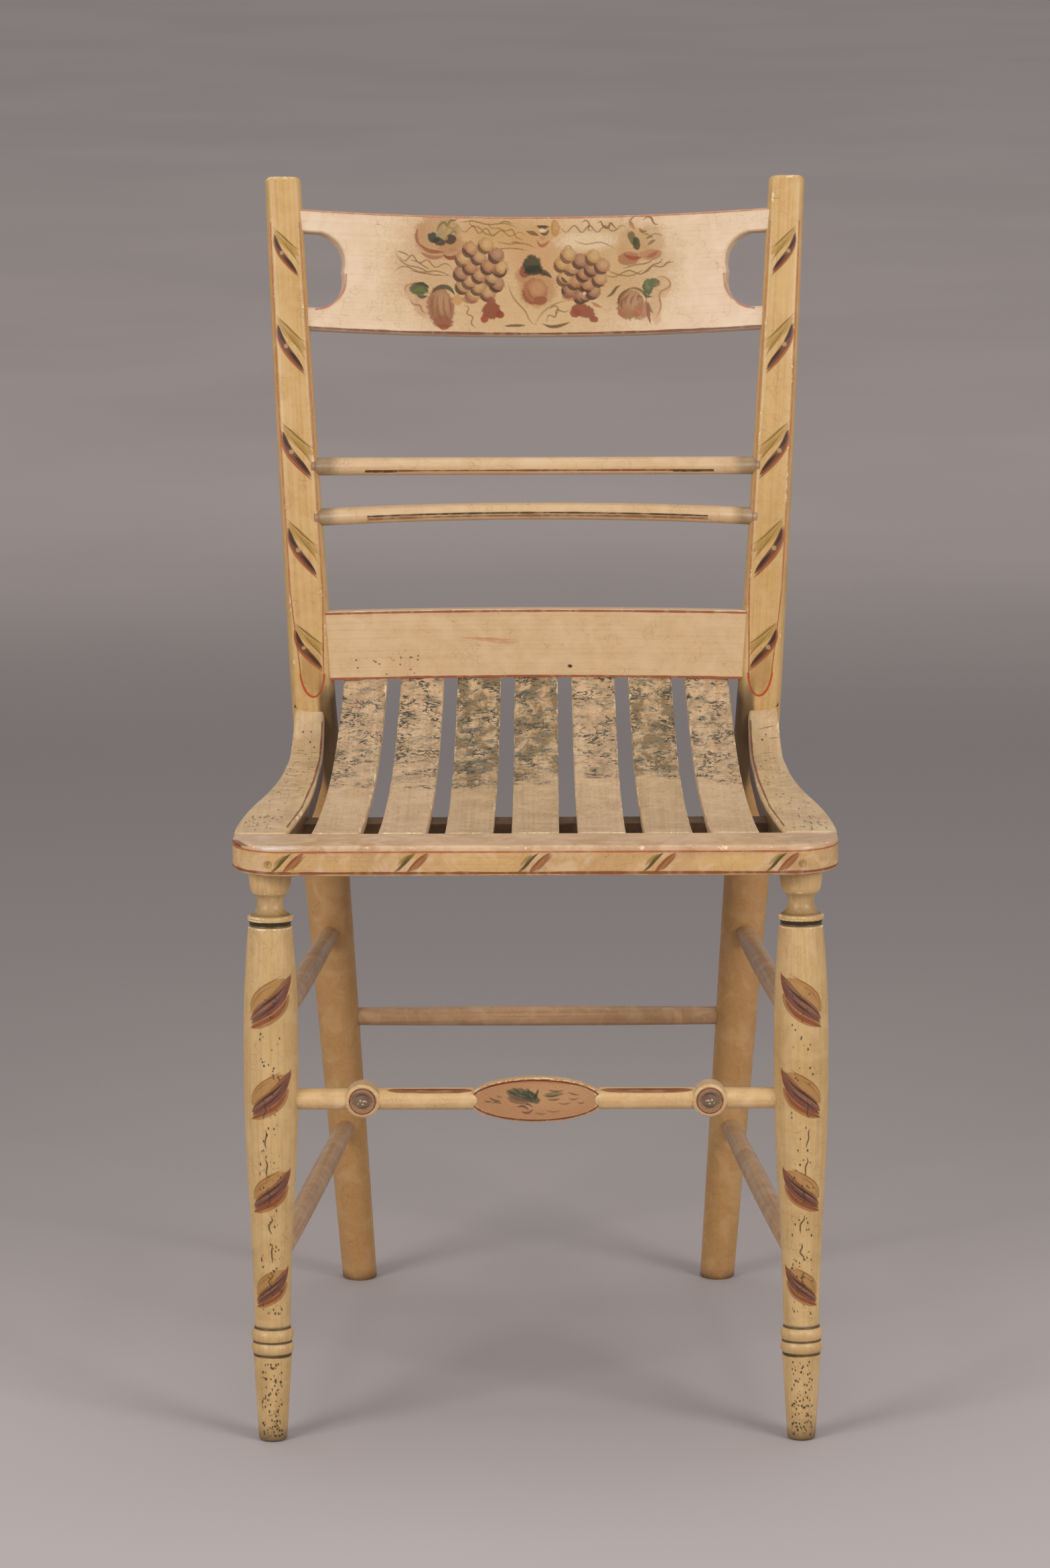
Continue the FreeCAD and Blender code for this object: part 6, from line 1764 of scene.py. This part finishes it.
@dataclass
class Stretchers:
    """The bars between the legs: two on each side, one at the back, and a carved one at the front."""

    leg: FrontLeg
    post: RearPost
    front_share: float = 0.567
    rear_share: float = 0.4966
    plaque_length: float = 97.0
    plaque_height: float = 32.8
    plaque_thick: float = 9.0
    plaque_forward: float = 1.5
    roundel_x: float = 124.4
    roundel_width: float = 24.4
    roundel_thick: float = 19.0

    def on_leg(self, height: float) -> Array:
        """Point of the right front leg's middle at a height."""
        return lerp(self.leg.foot, self.leg.top, height / self.leg.top[2])

    def on_post(self, height: float) -> Array:
        """Point of the right rear post's middle at a height below the knee."""
        share = height / self.post.knee_height
        return np.array([*lerp(self.post.foot, self.post.knee, share), height])

    @staticmethod
    def bar(start: Array, end: Array, width: float, end_width: float, inset: float = 9.0) -> Turning:
        """A bar a little fuller in the middle: its outline is the arc over its length."""
        length = np.linalg.norm(end - start)
        run = np.linspace(inset, length - inset, 100)
        share = run / length
        half, rise = length / 2, (width - end_width) / 2
        radius = arc_radius(half, rise)
        outline = np.sqrt(radius**2 - (run - half) ** 2) - (radius - rise) + end_width / 2
        return Turning(lerp(start, end, share[:, None]), outline, around=44)

    def build(self, bench: Bench) -> None:
        """Makes every stretcher."""
        for level, front, rear in (("upper", 0.675, 0.6568), ("lower", 0.2864, 0.2932)):
            bar = self.bar(self.on_leg(SEAT_TOP * front), self.on_post(SEAT_TOP * rear), 16.6, 13.4)
            for side in Side:
                name = f"side_stretcher_{level}_{side.word}"
                bench.piece(f"{name}_bar", bar.skin().on(side), Finish.STRETCHER, "stretcher_paint", name)
        end = self.on_post(SEAT_TOP * self.rear_share)
        rear = self.bar(end * (-1, 1, 1), end, 15.4, 13.6)
        bench.piece("rear_stretcher_bar", rear.skin(), Finish.STRETCHER, "stretcher_paint", "rear_stretcher")
        self.build_front(bench)

    def build_front(self, bench: Bench) -> None:
        """Makes the front stretcher: bar, oval plaque and two roundels, with their paint."""
        height = SEAT_TOP * self.front_share
        end = self.on_leg(height)
        bar = self.bar(end * (-1, 1, 1), end, 16.0, 15.0)
        bar.radius = bar.radius - 2.8 * smoothstep(46.0, 40.0, np.abs(bar.line[:, 0]))
        middle = end[1]
        turn = np.linspace(0, 2 * np.pi, 160, endpoint=False)
        oval = np.stack([self.plaque_length / 2 * np.cos(turn), self.plaque_height / 2 * np.sin(turn)], 1)
        face = middle - self.plaque_forward - self.plaque_thick / 2

        def bend(x: Array, up: Array, t: Array) -> Array:
            """Points of the upright plaque."""
            return np.stack([x, face + t, height + up], -1)

        plaque = Board(oval, self.plaque_thick, bend, 1.4, 1.4, 2.5).skin()
        half = self.roundel_thick / 2
        wide = self.roundel_width / 2
        outline = trace([(0.0, 0.01), (0.0, wide - 1.6), (1.6, wide), (2 * half - 1.6, wide), (2 * half, wide - 1.6),
                         (2 * half, 10.2), (2 * half - 0.5, 9.8), (2 * half - 0.5, 0.01)], 0.25)
        outline = thinned(softened(outline, 1.6), 1.5, 0.16)
        line = np.stack([np.full(len(outline), self.roundel_x), middle + half - outline[:, 0],
                         np.full(len(outline), height)], 1)
        boss = Turning(line, np.maximum(outline[:, 1], 0.01), (0, 0, 1), 56, heading=(0, -1, 0)).skin()
        whole = bar.skin().joined(plaque, boss, boss.mirrored())
        bench.piece("front_stretcher_carved", whole, Finish.FRONT_BAR, "stretcher_paint", "front_stretcher")

        def plaque_face(x: Array, up: Array, lift: float) -> Array:
            """Points on the plaque's front."""
            return bend(x, up, np.full_like(x, -lift))

        def roundel_face(x: Array, up: Array, lift: float) -> Array:
            """Points on the right roundel's front."""
            return np.stack([self.roundel_x + x, np.full_like(x, middle - half + 0.5 - lift), height + up], -1)

        def rimmed(canvas: Canvas, surface: Surface, rim: Array, width: float, colour: str, seed: int) -> Skin:
            """A canvas's paint and the line round it."""
            return film(canvas, surface).joined(
                lining(surface, np.concatenate([rim, rim[:3]]), width, colour, seed=seed, strength=0.85))

        canvas = Canvas((-47.6, -15.8), (47.6, 15.8), 0.4)
        PLAQUE_SPRAYS.paint(canvas, (0.0, 0.0), (0.13, 0.13), 2)
        painted = rimmed(canvas, plaque_face, oval * (0.955, 0.9), 1.0, "6a3420", 6)
        canvas = Canvas((-10.0, -10.0), (10.0, 10.0), 0.3)
        ROUNDEL_FACE.paint(canvas, (0.0, 0.0), (0.11, 0.11), 4)
        ring = np.stack([np.cos(turn), np.sin(turn)], 1) * 9.5
        disc = rimmed(canvas, roundel_face, ring, 1.4, "8a4632", 8)
        stripes = []
        for first, last in ((74.0, 136.0), (227.0, 294.0)):
            strip = Canvas((first - 2, -11.5), (last + 2, -4.5))
            strip.stroke([(first, -8.6), ((first + last) / 2, -8.0), (last, -8.4)], 4.6, "8f5034", strength=0.8,
                         taper=0.12, bristle=0.6, seed=3)
            strip.stroke([(first + 9, -9.4), (last - 4, -9.2)], 2.0, "6e3826", strength=0.6, seed=5)
            stripes.append(film(strip, bar.surface))
        bench.piece("front_stretcher_sprays", painted.joined(disc, disc.mirrored(), *stripes), Finish.STENCIL,
                    "stretcher_paint")


# ---------------------------------------------------------------- the room


@dataclass
class Studio:
    """The camera, two soft lamps, a soft top light, and a wide sheet of pale paper."""

    lens: float = 139.34
    pitch: float = 11.21
    yaw: float = 0.28
    roll: float = -0.22
    eye: Triple = (13.5, -4200.0, 1317.0)

    def build(self, front: float) -> None:
        """Sets the room up around the chair.

        Args:
            front: the seat front's depth in the frame, in millimetres.
        """
        scene = bpy.context.scene
        scene.view_settings.view_transform = "Standard"
        data = bpy.data.cameras.new("viewpoint")
        data.lens = self.lens
        data.sensor_width = 36.0
        data.clip_end = 60.0
        camera = bpy.data.objects.new("viewpoint", data)
        scene.collection.objects.link(camera)
        turn = (Matrix.Rotation(math.radians(self.yaw), 4, "Z")
                @ Matrix.Rotation(math.radians(90 - self.pitch), 4, "X")
                @ Matrix.Rotation(math.radians(self.roll), 4, "Z"))
        camera.matrix_world = Matrix.Translation(
            Vector(self.eye) * MM + Vector((0, front * MM, 0))) @ turn
        scene.camera = camera
        world = bpy.data.worlds.new("room")
        world.use_nodes = True
        ground = world.node_tree.nodes["Background"]
        ground.inputs["Color"].default_value = (1.0, 1.0, 1.0, 1.0)
        ground.inputs["Strength"].default_value = 0.38
        scene.world = world
        self.lamp("left_lamp", (-2.3, -2.4, 1.7), 1.3, 57.0)
        self.lamp("right_lamp", (2.4, -2.4, 1.7), 1.3, 60.0)
        self.lamp("top_lamp", (0.0, 0.2, 3.4), 2.2, 24.0)
        self.paper()

    @staticmethod
    def lamp(name: str, place: Triple, size: float, power: float) -> None:
        """A square soft lamp that points at the seat."""
        data = bpy.data.lights.new(name, "AREA")
        data.size = size
        data.energy = power
        data.color = (1.0, 0.99, 0.975)
        lamp = bpy.data.objects.new(name, data)
        lamp.location = place
        seat = Vector((0, 0, 0.45))
        lamp.rotation_euler = (seat - Vector(place)).to_track_quat("-Z", "Y").to_euler()
        bpy.context.scene.collection.objects.link(lamp)

    @staticmethod
    def paper() -> None:
        """A wide level sheet of pale paper, floor and backdrop in one, with painted light and shade: darker a little
        way behind the chair, lighter further back and near the camera.
        """
        corners = [(-16.0, -12.0, 0.0), (16.0, -12.0, 0.0), (16.0, 30.0, 0.0), (-16.0, 30.0, 0.0)]
        mesh = bpy.data.meshes.new("paper_floor")
        mesh.from_pydata(corners, [], [(0, 1, 2, 3)])
        r = Recipe("studio_paper")
        place = r.place()
        cloud = r.noise(place, 1.3, 2.0, 0.5)
        fine = r.noise(place, 240.0, 3.0, 0.6)
        y = r.part(place, 1)
        # painted light and shade: bands along the paper for the lamps' light falling off, lighter far back, darker
        # just behind the chair, and lighter again towards the camera
        colour = "c8bbba"
        for back, fore, tone in ((13.0, 6.5, "d6c7c3"), (4.5, 2.3, "948a88"), (1.5, -0.7, "b8aeac")):
            colour = r.blend(r.ramp(y, back, fore), colour, tone)
        colour = r.blend(r.ramp(cloud, 0.3, 0.7) * 0.12, colour, "8c8484")
        bump = r.bump(fine, 0.15, 0.0003)
        mesh.materials.append(r.finish({"Base Color": colour, "Roughness": 0.85, "Normal": bump}))
        floor = bpy.data.objects.new("paper_floor", mesh)
        bpy.context.scene.collection.objects.link(floor)


def dress_kept_nodes(nodes: dict[str, bpy.types.Object]) -> None:
    """Gives the small nodes that the frame keeps their wood or iron."""
    for name, finish in (("slat_nails", Finish.IRON), ("side_rail_nails", Finish.IRON), ("leg_pins", Finish.WOOD)):
        node = nodes[name]
        node.data.materials.clear()
        node.data.materials.append(finish.material())
        LOG.info("dressed %s", name)


def main() -> None:
    """Builds the chair's looks over its frame."""
    logging.basicConfig(level=logging.INFO, format="%(name)s: %(message)s")
    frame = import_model()
    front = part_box("front_rail")[0].y / MM
    Studio().build(front)
    bench = Bench(front)
    leg, post = FrontLeg(), RearPost()
    for part in (leg, post, ChairBack(post), Seat(), Stretchers(leg, post)):
        part.build(bench)
    dress_kept_nodes(frame["nodes"])
    LOG.info("%d pieces made", len(bench.made))
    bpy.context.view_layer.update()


if __name__ == "__main__":
    main()
